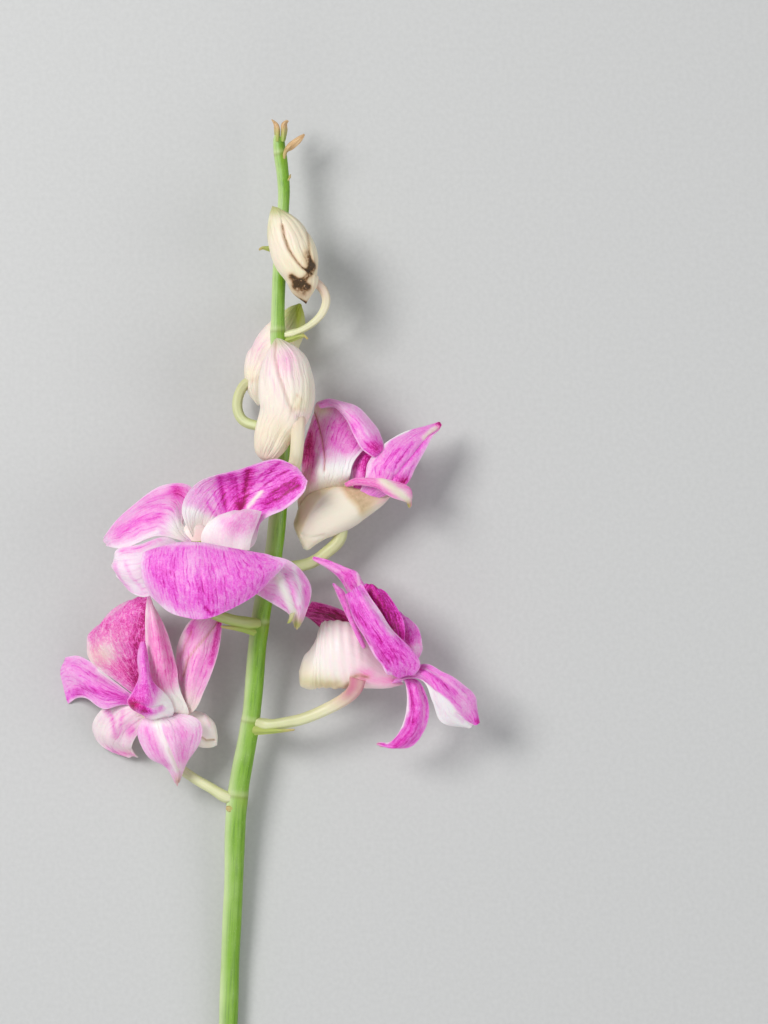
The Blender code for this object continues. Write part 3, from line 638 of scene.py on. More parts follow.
def add_piece(name, points, faces, leaf_map, marks, finish, nodes):
    """A mesh object from arrays, riding the stem, in the place of its solids and with its finish."""
    data = bpy.data.meshes.new(name)
    data.from_pydata(points.tolist(), [], [[int(k) for k in face] for face in faces])
    corner = np.empty(len(data.loops), dtype=np.int32)
    data.loops.foreach_get("vertex_index", corner)
    data.uv_layers.new(name="leaf").data.foreach_set("uv", (leaf_map[corner] / CENTIMETRE).ravel())
    for key in MARKS:
        values = np.broadcast_to(marks.get(key, 0.0), len(points)).astype(np.float32)
        data.attributes.new(key, "FLOAT", "POINT").data.foreach_set("value", np.ascontiguousarray(values))
    data.shade_smooth()
    data.set_sharp_from_angle(angle=SHARP_EDGE)
    data.materials.append(finish)
    piece = bpy.data.objects.new(name, data)
    bpy.context.scene.collection.objects.link(piece)
    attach(piece, "root")
    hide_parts(*nodes)
    made_faces[name] = len(data.polygons)
    return piece


# %% [markdown]
# ## One leaf: petal, sepal, lip or scale
#
# A leaf is a function of two parameters: u runs across it from one margin at -1 to the other at 1,
# and v from its base at 0 to its tip at 1. The net gives the sheet, a relief in millimetres lifts
# or lowers it along its own normal, towards whoever looks at the flower, and the sheet becomes
# solid by going half its thickness to each side. Real petals are thickest along the middle and
# thin at the margin, and so is this one.
#
# Blender's Solidify modifier would do much the same. Working the two sides out here lets the margin
# thin out, and lets the margin and the underside carry less pigment than the rest.

# %% Leaves
FACE = 0.00046                  # the side of one face
FEWEST = 14                     # faces along or across the smallest scale
LEAF_THICK = 0.00055
MARGIN_THICK = 0.00022
TIP_FROM = 0.9                  # v from which the whole width thins out towards the tip
UNDERSIDE = 0.72                # how much of the upper side's pigment shows below
PALE_EDGE = 0.35                # share of its pigment that a leaf loses at its very margin
PALE_FROM = 0.86                # |u| from which the margin is paler


def shell(points, normals, thick):
    """A closed shell round a grid of points: both sides, and a band of four-cornered faces between."""
    rows, columns = points.shape[:2]
    number = np.arange(rows * columns).reshape(rows, columns)
    corners = [number[:-1, :-1], number[1:, :-1], number[1:, 1:], number[:-1, 1:]]
    front = np.stack(corners, axis=-1).reshape(-1, 4)
    back = front[:, ::-1] + number.size
    loop = np.concatenate([number[:-1, 0], number[-1, :-1], number[:0:-1, -1], number[0, :0:-1]])
    after = np.roll(loop, -1)
    band = np.stack([after, loop, loop + number.size, after + number.size], axis=-1)
    half = normals * thick[..., None] / 2
    two_sides = np.concatenate([(points + half).reshape(-1, 3), (points - half).reshape(-1, 3)])
    return two_sides, np.concatenate([front, back, band])


def net_surface(net, across, along):
    """The smooth surface through a net of points, with u from -1 to 1 and v from 0 to 1 at its points."""
    u_line = np.linspace(-1.0, 1.0, across + 1)
    v_line = np.linspace(0.0, 1.0, along + 1)
    over = spline_weights(net.shape[1], (u_line + 1) / 2)
    down = spline_weights(net.shape[0], v_line)
    return np.einsum("vi,uj,ijk->vuk", down, over, net), *np.meshgrid(u_line, v_line)


def normals_of(sheet):
    """Directions square to a grid of points: the cross product of its two slopes."""
    return unit(np.cross(np.gradient(sheet, axis=0), np.gradient(sheet, axis=1)))


def grow_leaf(finish, slot, name, rows, relief=(), nodes=None, under=UNDERSIDE, thick=LEAF_THICK, **paint):
    """A thin leaf through a net of points, shaped and painted by strokes.

    The sheet is the net's smooth surface plus its normal times the relief. The two sides lie half the
    thickness off it, and the thickness falls towards the margin with the fourth power of u. Pigment is
    paler at the very margin, and on the underside by the share under.
    """
    net = place(rows)
    widest = max(length_of(row) for row in net)
    longest = length_of(net[:, net.shape[1] // 2])
    across, along = (max(round(size / FACE), FEWEST) for size in (widest, longest))
    sheet, u, v = net_surface(net, across, along)
    at = Where(u, v, *plan_of(sheet))
    normal = normals_of(sheet)
    viewer = 1 if normal[..., 2].mean() > 0 else -1
    sheet = sheet + normal * (viewer * MM * total(relief, at))[..., None]
    width = MARGIN_THICK + (thick - MARGIN_THICK) * (1 - u**4) * (1 - rise(v, TIP_FROM, 1.0))
    normal = normals_of(sheet)
    sheet[..., 2] = np.maximum(sheet[..., 2], width / 2)
    points, faces = shell(sheet, normal, width)

    offset = [widest * len(made_faces), 0.0]                # so that no two leaves share a pattern
    leaf_map = np.stack([u.ravel() * widest / 2, v.ravel() * longest], axis=-1) + offset
    marks = {}
    for key, strokes in paint.items():
        above = np.clip(total(strokes, at), 0.0, 1.0)
        below = above
        if key == "pigment":
            above = above * (1 - PALE_EDGE * rise(np.abs(u), PALE_FROM, 1.0))
            below = above * under
        marks[key] = np.concatenate([above.ravel(), below.ravel()][::viewer])
    add_piece(name, points, faces, np.tile(leaf_map, (2, 1)), marks, finish, nodes or [name])
    print(f"{name}: {widest * 1000:.0f} by {longest * 1000:.0f} mm, {made_faces[name]} faces")


# %% [markdown]
# ## Rings along a line
#
# Buds, chins and stalks are round, so they are drawn with stations along a bent line. An oval ring
# stands at each place along it, and a single point closes each end. The two parameters are the way
# round, turn, and the way along from one end to the other, t.

# %% Rings
LOOK_AHEAD = 0.001              # share of a line's length over which its direction is read


def run_of(spine, t):
    """The direction of a curve at each t: a point a little after it less a point a little before."""
    after = spline_weights(len(spine), t + LOOK_AHEAD) @ spine
    before = spline_weights(len(spine), t - LOOK_AHEAD) @ spine
    return unit(after - before)


def rings(centre, ahead, wide, deep, relief, turn):
    """Points round each centre: the cosine times the half width sideways, the sine times the depth up."""
    sideways = unit(np.cross(ahead, (0.0, 0.0, 1.0)))
    up = np.cross(sideways, ahead)
    over = sideways[:, None] * (np.cos(turn) * (wide[:, None] + relief))[..., None]
    rest = up[:, None] * (np.sin(turn) * (deep[:, None] + relief))[..., None]
    return centre[:, None] + over + rest


def turns_and_places(count, t_line):
    """The grid of both parameters: count turns round at each place along."""
    return np.meshgrid(np.arange(count) * 2 * math.pi / count, t_line)


def close_ends(ring_points, first, last):
    """A closed skin over rings: four-cornered faces between them, and a fan at a single point on each end."""
    count, around = ring_points.shape[:2]
    number = np.arange(count * around).reshape(count, around)
    beside = np.roll(number, -1, axis=1)
    walls = np.stack([number[:-1], beside[:-1], beside[1:], number[1:]], axis=-1).reshape(-1, 4)
    tip_a, tip_b = number.size, number.size + 1
    fan_a = [(tip_a, b, a) for a, b in zip(number[0], beside[0])]
    fan_b = [(tip_b, a, b) for a, b in zip(number[-1], beside[-1])]
    points = np.concatenate([ring_points.reshape(-1, 3), [first, last]])
    return points, [*walls.tolist(), *fan_a, *fan_b]


def face_out(piece):
    """Turns every face of a closed mesh outwards."""
    tool = bmesh.new()
    tool.from_mesh(piece.data)
    bmesh.ops.recalc_face_normals(tool, faces=tool.faces)
    tool.to_mesh(piece.data)
    tool.free()


def add_rings(finish, name, ring_points, first, last, across, t, long, values):
    """A piece from rings that lie on or above the floor, with a map of metres across and along.

    A mark at a closing point is the mean of the ring beside it.
    """
    ring_points[..., 2] = np.maximum(ring_points[..., 2], 0.0)
    points, faces = close_ends(ring_points, first, last)
    leaf_map = np.stack([across.ravel(), t.ravel() * long], axis=-1)
    leaf_map = np.concatenate([leaf_map, [[across[0, 0], 0.0], [across[0, 0], long]]])
    marks = {}
    for key, value in values.items():
        value = np.clip(value, 0.0, 1.0)
        marks[key] = np.concatenate([value.ravel(), [value[0].mean(), value[-1].mean()]])
    face_out(add_piece(name, points, faces, leaf_map, marks, finish, [name]))
    print(f"{name}: {long * 1000:.0f} mm long, {made_faces[name]} faces")


print("rings look", LOOK_AHEAD, "of a line ahead")

# %% [markdown]
# ## One closed body: a bud or a flower's chin
#
# A body's stations have a half width and a half depth each. The same strokes shape and paint it:
# their u is minus the cosine of the turn, so it runs from -1 to 1 across the side that faces the
# viewer, and their v is t.

# %% Closed bodies
BODY_ROUND = 96
BODY_LONG = 96                  # rings along a body
BODY_THINNEST = 0.02            # the least half width, in millimetres
DEEPEST = 0.6                   # a groove goes no deeper than this share of the half width
BODY_MAP_STEP = 8               # half widths between the maps of two bodies


def grow_body(finish, slot, name, stations, relief=(), parallel=False, lengthwise=BODY_LONG, **paint):
    """A closed body along a bent line, shaped and painted by strokes.

    Each ring is an ellipse round the line. Rings face along the line, or all the same way if parallel.
    """
    table = np.asarray(stations, dtype=float)
    spine = place(table)
    t_line = (1 - np.cos(np.linspace(0.0, math.pi, lengthwise + 1)[1:-1])) / 2
    weights = spline_weights(len(spine), t_line)
    centre = weights @ spine
    size = np.maximum(weights @ table[:, 3:5], BODY_THINNEST) * MM
    ahead = np.broadcast_to(unit(spine[-1] - spine[0]), centre.shape) if parallel else run_of(spine, t_line)
    turn, t = turns_and_places(BODY_ROUND, t_line)
    smooth = rings(centre, ahead, size[:, 0], size[:, 1], np.zeros_like(t), turn)
    at = Where(-np.cos(turn), t, *plan_of(smooth))
    lift = np.maximum(total(relief, at) * MM, -DEEPEST * size[:, :1])
    points = rings(centre, ahead, size[:, 0], size[:, 1], lift, turn)
    across = turn * size.max() + size.max() * BODY_MAP_STEP * len(made_faces)
    values = {key: total(strokes, at) for key, strokes in paint.items()}
    add_rings(finish, name, points, spine[0], spine[-1], across, t, length_of(centre), values)


# %% [markdown]
# ## One stalk
#
# Stalks are drawn the same way, with a radius at each station. They are living tissue, so they are
# not true tubes: ribs run along them, and they swell where something grows. Both are added to the
# radius as a relief.

# %% Stalks
STALK_ROUND = 32


def grow_stalk(finish, slot, name, stations, rings_along, relief, **paint):
    """A tube along a smooth line with its own radius at each place, closed at both ends.

    The radius is the curve through the stations' radii plus a relief of the turn, t and the metres along Y.
    """
    table = np.asarray(stations, dtype=float)
    spine = place(table)
    t_line = np.linspace(0.0, 1.0, rings_along)
    weights = spline_weights(len(spine), t_line)
    centre = weights @ spine
    radius = weights @ table[:, 3] * MM
    turn, t = turns_and_places(STALK_ROUND, t_line)
    along = np.broadcast_to(centre[:, 1:2], t.shape)
    lift = relief(turn, t, along) * MM
    points = rings(centre, run_of(spine, t_line), radius, radius, lift, turn)
    values = {key: rule(turn, t, along) for key, rule in paint.items()}
    across = turn * radius.mean()
    add_rings(finish, name, points, centre[0], centre[-1], across, t, length_of(centre), values)


# %% [markdown]
# ## The stalk
#
# The stalk is fresh and full of water: bright green, with a whitish waxy bloom and a painted highlight on its
# left side, fine lengthwise ribs, and a swelling with a paler scar at each place where something grows or
# grew.
# It gets thinner towards the tip and ends in scales.
# It could be a curve with a bevel, but a curve can't carry ribs or a colour that changes round it.

# %% Stalk finish
STALK_OVERLAYS = {
    "cream": hue(236, 226, 196), "rose": hue(200, 112, 140),
    "green": hue(146, 172, 40), "brown": hue(112, 78, 40),
}
FLECK = hue(226, 234, 190)
FLECK_SHARE = 0.22
CLOUDINESS = 0.7                # how much the pale bloom comes and goes


def stalk_finish(name, pale, full, deep, roughness):
    """Green along the stalk: pale where its mark says so, with fine ribs, flecks and darker streaks."""
    finish, tree, shader = new_finish(name, {
        "Subsurface Weight": 0.10, "Subsurface Radius": (0.8, 1.0, 0.3), "Subsurface Scale": SCATTER,
    })
    leaf = on_leaf(tree)
    fibre = noise(drawn_out(leaf, 26.0, 1.6), 1.0, 4.0, 0.6)
    fleck = noise(drawn_out(leaf, 24.0, 9.0), 2.2, 2.0)
    cloud = noise(in_space(tree), 90.0, 3.0)
    tone = ramp(fibre, [(0.32, deep), (0.52, full), (0.74, full)])
    tone = blend_colours((mark(tree, "pigment") + (cloud - 0.5) * CLOUDINESS).held(), tone, pale)
    tone = blend_colours(between(fleck, 0.62, 0.74, 0.0, FLECK_SHARE), tone, FLECK)
    for key, colour in STALK_OVERLAYS.items():
        tone = blend_colours(mark(tree, key), tone, colour)
    feed(tone, shader["Base Color"])
    feed(bumps(fibre, 0.35, BUMP_HIGH), shader["Normal"])
    feed(between(fleck, 0.0, 1.0, roughness - 0.08, roughness + 0.12), shader["Roughness"])
    return finish


STALK = stalk_finish("stalk_skin", hue(212, 230, 170), hue(122, 172, 28), hue(90, 138, 14), 0.42)
PEDICEL = stalk_finish("pedicel_skin", hue(240, 236, 212), hue(220, 220, 158), hue(192, 200, 110), 0.40)

# %% Stalk
STALK_LINE = [                  # across, along, height, and the thickness in millimetres
    (225.5, 1120, 2.35, 4.7), (226.5, 1024, 3.1, 4.7), (231.5, 900, 4.9, 4.8), (236, 804, 7.2, 5.2),
    (250, 719, 9.4, 4.6), (257, 645, 11.2, 4.6), (262.5, 604, 12.2, 4.5), (273, 554, 13.2, 4.5),
    (278, 510, 13.9, 4.3), (283, 453, 14.4, 3.6), (281, 395, 14.6, 3.5), (277.5, 334, 14.5, 3.5),
    (278.5, 274, 14.0, 3.2), (283, 207, 13.2, 2.8), (283, 180, 12.9, 3.0), (278.5, 143, 12.4, 3.0),
    (279.5, 134, 12.3, 2.75),
]
STALK_RINGS = 560
JOINTS = np.array([802, 727, 628, 566, 482, 428, 335, 250, 157])    # where things grow, along the plan
SWELLING_HIGH = 0.16            # millimetres
SWELLING_LONG = 0.0028          # metres
RIBS = 11
RIB_HIGH = 0.035
WAVES_HIGH = (0.05, 0.04)
SCAR_HIGH = 0.06
SCAR_LONG = 0.0005


def near_joints(along, reach, higher=0):
    """A bell over reach at each joint, added up. It can sit a few steps of the plan higher."""
    places = (PLAN_CENTRE[1] - (JOINTS - higher)) * CELL
    return bell((along[..., None] - places) / reach).sum(axis=-1)


def stalk_relief(turn, t, along):
    """A wave round the stalk makes its ribs, two slow ones make dents, and bells at each joint make a wide
    swelling and a thin ring of scar. All are in millimetres and are added up.
    """
    ribs = RIB_HIGH * np.cos(RIBS * turn + 9 * t)
    waves = WAVES_HIGH[0] * np.sin(along * 310) + WAVES_HIGH[1] * np.sin(turn + along * 170)
    swellings = SWELLING_HIGH * near_joints(along, SWELLING_LONG)
    scars = SCAR_HIGH * near_joints(along, SCAR_LONG, 6)
    return ribs + waves + swellings + scars


def stalk_bloom_and_highlight(turn, t, along):
    """The pale waxy bloom and a painted highlight on the side that faces the key light: strong on the left
    side, a little less towards the tip, and none on the right.
    """
    left = rise(-np.cos(turn), 0.1, 0.95) * (1 - 0.15 * t)
    return 0.16 + 0.66 * left - 0.25 * rise(np.cos(turn), 0.2, 0.9)


grow_stalk(
    STALK, "stem", "stem", [(*point, thick / 2) for *point, thick in STALK_LINE], STALK_RINGS, stalk_relief,
    pigment=stalk_bloom_and_highlight,
    green=lambda turn, t, along: 0.35 * near_joints(along, 0.0022) * rise(np.cos(turn), -0.6, 0.4),
    cream=lambda turn, t, along: 0.25 * near_joints(along, 0.0006, 7) + 0.7 * rise(t, 0.985, 1.0),
    brown=lambda turn, t, along: 0.5 * rise(-t, -0.004, 0.0) + 0.25 * near_joints(along, 0.0004, 4),
)

# %% [markdown]
# ## Flower stalks
#
# Each flower and bud hangs on a pedicel of its own, which is also the flower's ovary. Most are yellow-green
# where they leave the stalk, cream in the middle, and some are flushed with pink at the flower. Their upper
# side is painted paler and their underside greener, as painted light and shade. One function grows them all,
# from a line of stations and three amounts each.

# %% Pedicels
PEDICELS = {                    # green at the stalk, pink at the flower, cream in between; then the line
    "bud_1_pedicel": ((0.12, 0.40, 0.75), [
        (281, 335, 14.5, 0.8), (296, 331.5, 15.3, 0.8), (311, 324, 16.3, 0.85), (322, 313, 17.2, 0.95),
        (326, 299, 18.4, 1.05), (320, 286, 19.4, 1.1), (307, 278, 20.4, 1.1),
    ]),
    "bud_2_pedicel": ((0.55, 0.10, 0.30), [
        (281, 428, 14.3, 1.2), (260, 426, 12.2, 1.2), (244, 421, 10.4, 1.25), (237, 410, 8.8, 1.25),
        (237, 396, 7.4, 1.25), (243, 384, 6.4, 1.25), (255, 376, 6.0, 1.2),
    ]),
    "bud_3_pedicel": ((0.00, 0.35, 0.85), [
        (283, 484, 14.2, 1.4), (290, 474, 18.0, 1.5), (295.5, 461, 21.6, 1.6), (297.5, 446, 24.6, 1.65),
        (298, 431, 26.4, 1.75), (297.5, 420, 26.2, 2.1), (296, 409, 24.6, 2.0),
    ]),
    "bloom_1_pedicel": ((0.60, 0.05, 0.30), [
        (274, 568, 13.2, 1.4), (290, 567, 12.4, 1.4), (311, 563, 11.6, 1.45), (328, 551, 11.6, 1.5),
        (339, 539, 12.2, 1.6), (342, 522, 13.0, 1.7),
    ]),
    "bloom_2_pedicel": ((0.95, 0.00, 0.00), [
        (260, 624, 12.4, 1.3), (245, 623, 16.4, 1.3), (228, 619, 19.2, 1.35), (212, 612, 20.6, 1.35),
        (200, 598, 21.3, 1.4), (196, 580, 22.2, 1.5), (198, 565, 24.0, 2.1), (200, 553, 26.5, 2.9),
        (200, 546, 28.6, 2.4),
    ]),
    "bloom_3_pedicel": ((0.25, 0.05, 0.60), [
        (236, 801, 7.6, 1.25), (224, 799, 8.2, 1.25), (209, 790, 8.0, 1.25), (192, 780, 7.2, 1.2),
        (176, 768, 6.4, 1.2), (162, 752, 6.0, 1.3), (152, 734, 7.0, 1.5), (150, 720, 9.0, 2.3),
        (150, 711, 11.4, 3.0), (150, 706, 13.4, 2.5),
    ]),
    "bloom_4_pedicel": ((0.45, 0.95, 0.50), [
        (255, 724, 9.8, 1.4), (268, 726, 11.8, 1.4), (284, 724, 12.6, 1.4), (304, 719.5, 13.0, 1.4),
        (326, 710, 13.8, 1.5), (345, 699, 16.0, 1.6), (355, 689, 18.4, 1.8), (358, 679, 18.6, 2.1),
    ]),
}
PEDICEL_RINGS = 120


def pedicel_relief(turn, t, along):
    """Six soft ribs, a slight unevenness and a collar where it leaves the stalk, in millimetres."""
    return 0.05 * np.cos(6 * turn + 2 * t) + 0.05 * np.sin(11 * t + turn) + 0.20 * bell((t - 0.12) / 0.05)


for name, ((green, pink, cream), stations) in PEDICELS.items():
    other = min(pink + cream, 1)
    grow_stalk(
        PEDICEL, "pedicel", name, stations, PEDICEL_RINGS, pedicel_relief,
        # A little pale all round, paler on top as a painted highlight, and greener underneath as painted
        # shade.
        pigment=lambda turn, t, along: 0.25 + 0.3 * rise(np.sin(turn), 0.2, 1.0),
        green=lambda turn, t, along: green * (1 - other * rise(t, 0.15, 0.75)) * (0.9 - 0.2 * np.sin(turn)),
        cream=lambda turn, t, along: cream * rise(t, 0.15, 0.6),
        rose=lambda turn, t, along: pink * rise(t, 0.55, 0.88) * (0.85 + 0.15 * np.cos(3 * turn)),
    )

# %% [markdown]
# ## Scales
#
# A scale sits under some of the pedicels, and where a bud failed or fell, the stalk keeps one too.
# The fresher they are, the greener; the others have dried to straw with a browner tip. They are
# leaves too, so the same function grows them, with a matt finish of lengthwise fibres.

# %% Scales
STRAW_STOPS = [(0.3, hue(176, 132, 84)), (0.55, hue(222, 184, 136)), (0.8, hue(238, 216, 176))]
SCALE_THICK = 0.0004


def scale_finish():
    """Straw with darker lengthwise fibres, from a noise drawn out on the leaf's own map."""
    finish, tree, shader = new_finish("dry_scale", {"Roughness": 0.7})
    fibre = noise(drawn_out(on_leaf(tree), 60.0, 6.0), 1.0, 4.0)
    tone = ramp(fibre, STRAW_STOPS)
    tone = blend_colours(mark(tree, "green"), tone, hue(158, 186, 84))
    tone = blend_colours(mark(tree, "brown"), tone, hue(104, 66, 30))
    feed(tone, shader["Base Color"])
    feed(bumps(fibre, 0.5, 0.00015), shader["Normal"])
    return finish


SCALE = scale_finish()
SCALES = {                      # how fresh it still is, and its net
    "tip_left_bract": (0.8, [
        [(279.5, 139, 12.6), (276.8, 140, 13.9), (274.2, 139, 12.0)],
        [(280, 129, 13.2), (276.8, 129, 14.2), (273.6, 129, 12.4)],
        [(278.4, 123.6, 13.4), (276, 123, 14.2), (273.6, 123, 12.8)],
        [(272.8, 119, 13.2), (272, 118.2, 13.4), (271.2, 117.6, 13.2)],
    ]),
    "tip_right_bract": (0.9, [
        [(279.5, 139, 12.6), (282.5, 140, 13.9), (285.2, 139, 12.0)],
        [(280, 129, 13.0), (283.6, 129, 14.4), (287, 128.5, 12.6)],
        [(280.8, 122.5, 13.4), (283.6, 122.5, 14.2), (286.4, 122.5, 13.2)],
        [(286.4, 118.4, 13.6), (287.3, 118.7, 13.6), (288.2, 119.2, 13.4)],
    ]),
    "tip_side_bract": (0.3, [
        [(280.5, 157, 13.2), (283.5, 157, 13.8), (286, 156, 12.8)],
        [(283.2, 149, 14.0), (285.4, 149.8, 14.6), (287.4, 150.8, 14.0)],
        [(287.4, 142.6, 14.6), (290, 145.4, 15.0), (292.6, 148, 14.4)],
        [(296, 136.4, 15.0), (298.4, 138.8, 15.4), (300.4, 141, 15.0)],
        [(303.8, 132.8, 15.4), (304.2, 133.2, 15.4), (304.6, 133.7, 15.4)],
    ]),
    "left_hook_bract": (0.75, [
        [(277, 243, 14.0), (275, 248, 14.4), (277, 253, 14.0)],
        [(267, 245, 14.4), (267, 247.3, 14.6), (267, 250, 14.4)],
        [(262, 245.6, 14.4), (262, 247, 14.6), (262.4, 248.6, 14.4)],
        [(258.4, 248.6, 14.4), (258.5, 249, 14.4), (258.8, 249.4, 14.4)],
    ]),
    "right_hook_bract": (0.6, [
        [(284, 184, 13.4), (286, 180, 13.6), (287, 176, 13.2)],
        [(289, 178, 13.8), (290, 175.5, 13.9), (290.5, 173, 13.6)],
    ]),
    "bud_1_bract": (0.8, [
        [(280, 338, 14.8), (281, 341.5, 14.8), (280, 345, 14.4)],
        [(293, 335.4, 15.6), (293, 338, 15.8), (293, 341, 15.4)],
        [(303, 334, 16.0), (303, 335.4, 16.0), (302.5, 337, 16.0)],
        [(308, 338.2, 16.0), (307.6, 338.6, 16.0), (307.2, 339, 16.0)],
    ]),
    "bloom_2_bract": (0.9, [
        [(256, 628, 13.4), (257, 633, 13.2), (257, 638, 12.6)],
        [(240, 626, 17.4), (240, 629, 17.6), (240, 632, 17.0)],
        [(221, 626, 19.2), (220.6, 626.6, 19.3), (221, 627.2, 19.0)],
    ]),
    "bloom_3_bract": (0.6, [
        [(236, 808, 8.8), (237, 812, 8.8), (237, 816, 8.4)],
        [(225.5, 808, 9.6), (225, 810.5, 9.7), (226, 813, 9.4)],
    ]),
    "bloom_4_bract": (0.8, [
        [(252, 727, 11.4), (252, 732, 11.2), (252, 737, 10.6)],
        [(270, 729, 13.2), (270, 732, 13.4), (270, 735, 12.8)],
        [(283, 730, 13.8), (283, 731.4, 14.0), (283, 733, 13.6)],
        [(294, 730, 14.4), (294.4, 730.5, 14.4), (294, 731, 14.2)],
    ]),
}
for name, (fresh, rows) in SCALES.items():
    dry = 1 - fresh
    wilting = wash(-fresh, 0.0, 0.6) if name.startswith("tip") else wash(-0.6 * fresh, 0.4, 1.0)
    grow_leaf(
        SCALE, "bract", name, rows, thick=SCALE_THICK, relief=[wave(0.12, 4, 3), rim(-0.10, 0.0)],
        green=[fresh, wilting], brown=[wash(0.4 * dry, 0.82, 1.0), rim(0.3 * dry, 0.75)],
    )

# %% [markdown]
# ## Closed buds
#
# A bud is three sepals wrapped round each other, with the chin as a spur at its foot. What shows is
# the seam where one sepal laps over the next, and a soft fold on each side of it. They are cream
# with lilac veins. The top one has begun to rot at its foot, and the rear one is greenish at its tip.

# %% Buds
bud = partial(grow_body, SKIN, "bud")
BUD_1_SEAM = [(282.5, 226), (285, 238), (289, 250), (296, 261), (303, 269), (310, 273)]
BUD_1_SIDE = [(308, 231), (309.5, 244), (311, 262)]
BUD_1_VEIN = [(272, 230), (276, 246), (285, 262), (296, 276)]
BUD_2_SEAM = [(256, 326), (249, 345), (247, 368)]
BUD_2_RIDGE = [(299, 303), (297, 320), (295, 338)]
BUD_3_SEAM = [(276.2, 344), (275.3, 357), (279, 373), (284.3, 389), (289.7, 405), (293, 411)]
BUD_3_LEFT = [(262, 350), (261, 372), (267, 392), (275, 406)]
BUD_3_SPUR = [(283, 424), (278, 440), (270, 454)]

bud("bud_1", [
    (272.3, 206, 20.4, 0.0, 0.0), (276, 213, 20.7, 1.7, 1.7), (284, 229, 21.2, 4.5, 4.3),
    (292, 247, 21.4, 5.5, 5.1), (298, 264, 21.2, 5.3, 4.9), (302, 279, 20.8, 3.9, 3.6),
    (303.5, 291, 20.2, 2.8, 2.6), (306, 304, 19.6, 0.0, 0.0),
],
    relief=[
        lap(0.55, BUD_1_SEAM, 1.2, 14), line(-0.40, BUD_1_SEAM, 1.6), line(-0.28, BUD_1_SIDE, 1.5),
        line(-0.16, BUD_1_VEIN, 2.0), line(-0.35, [(296, 281), (304, 287), (307, 296)], 2.0),
        wave(0.07, 3, 19), wave(0.05, 21, 4),
    ],
    pigment=[
        0.02, spot(0.08, (279, 248), (7, 16)), spot(0.06, (296, 238), (8, 14)), line(0.08, BUD_1_SEAM, 2.0),
    ],
    rose=[0.35], cream=[0.80, spot(0.20, (300, 268), (14, 14)), side(0.10, -0.2, 0.8)],
    green=[0.05, fade(0.62, (272, 222), (272, 208)), line(0.22, [(271, 222), (267, 240)], 2.5)],
    brown=[
        line(0.62, BUD_1_SEAM, 1.3), line(0.45, BUD_1_SIDE, 1.2), spot(0.85, (311, 266), (5, 7)),
        spot(0.60, (307, 256), (3.5, 6)), line(0.9, [(292, 277), (299, 282), (308, 287)], 3.4),
        line(0.8, [(302, 282), (308, 276), (313, 268)], 3.0), spot(0.80, (296, 286), (5, 5)),
        line(0.8, [(290, 295), (298, 300), (306, 303)], 2.2), spot(0.60, (303, 292), (7, 6)),
    ],
)
bud("bud_2", [
    (299.6, 302, 6.8, 0.0, 0.0), (296, 309, 6.4, 2.0, 1.9), (288, 325, 5.4, 4.3, 4.1),
    (276, 343, 4.8, 5.4, 5.2), (264, 360, 4.35, 4.8, 4.6), (257, 376, 5.2, 3.5, 3.3),
    (256, 391, 5.8, 2.3, 2.2), (257, 405, 6.2, 0.0, 0.0),
],
    relief=[
        lap(0.40, BUD_2_SEAM, 1.2, 12), line(-0.30, BUD_2_SEAM, 1.8), line(0.35, BUD_2_RIDGE, 2.5),
        wave(0.08, 3, 17), wave(0.05, 19, 4),
    ],
    pigment=[0.03, spot(0.17, (258, 345), (12, 20)), line(0.05, BUD_2_SEAM, 2.5)], rose=[0.30],
    cream=[0.60, fade(0.35, (270, 330), (296, 330)), spot(0.3, (248, 372), (8, 8))],
    green=[
        fade(0.78, (276, 340), (300, 318)), spot(0.30, (299, 305), (5, 10)), line(0.2, BUD_2_RIDGE, 2.0),
    ],
    brown=[spot(0.18, (252, 379), (5, 3))],
)
bud("bud_3", [
    (277, 338, 22.6, 0.0, 0.0), (279.5, 344, 22.9, 1.8, 1.8), (284, 360, 23.6, 5.3, 5.0),
    (286, 378, 24.0, 6.8, 6.3), (287, 396, 23.9, 7.0, 6.4), (284, 413, 23.3, 6.3, 5.8),
    (276, 429, 22.4, 5.2, 4.6), (270, 444, 21.6, 4.2, 3.4), (265, 455, 20.8, 2.6, 2.0),
    (263, 461, 20.4, 0.0, 0.0),
],
    relief=[
        lap(0.60, BUD_3_SEAM, 1.2, 16), line(-0.45, BUD_3_SEAM, 1.7), line(-0.18, BUD_3_LEFT, 2.2),
        line(-0.30, BUD_3_SPUR, 3.0), line(0.18, [(306, 352), (309, 376), (308, 398)], 3.0),
        wave(0.08, 3, 19), wave(0.05, 23, 4),
    ],
    pigment=[
        0.03, spot(0.26, (288, 362), (11, 17)), spot(0.09, (268, 362), (8, 22)),
        line(0.07, BUD_3_SEAM, 2.2), spot(0.14, (300, 416), (10, 5)),
        line(0.07, [(271, 375), (279, 396), (286, 408)], 2.4),
    ],
    rose=[0.35, fade(0.45, (290, 400), (296, 416))],
    cream=[
        0.52, fade(0.30, (285, 400), (275, 440)), spot(0.4, (298, 404), (9, 9)),
        spot(0.2, (282, 432), (8, 10)),
    ],
    green=[fade(0.40, (274, 352), (272, 342)), spot(0.20, (309, 396), (6, 18))],
    brown=[
        line(0.20, BUD_3_SEAM, 1.1),
        line(0.30, [(295, 399), (298, 396), (302, 400), (300, 406), (296, 409)], 1.0),
        line(0.16, [(290, 411), (298, 410), (305, 411)], 1.4),
    ],
)
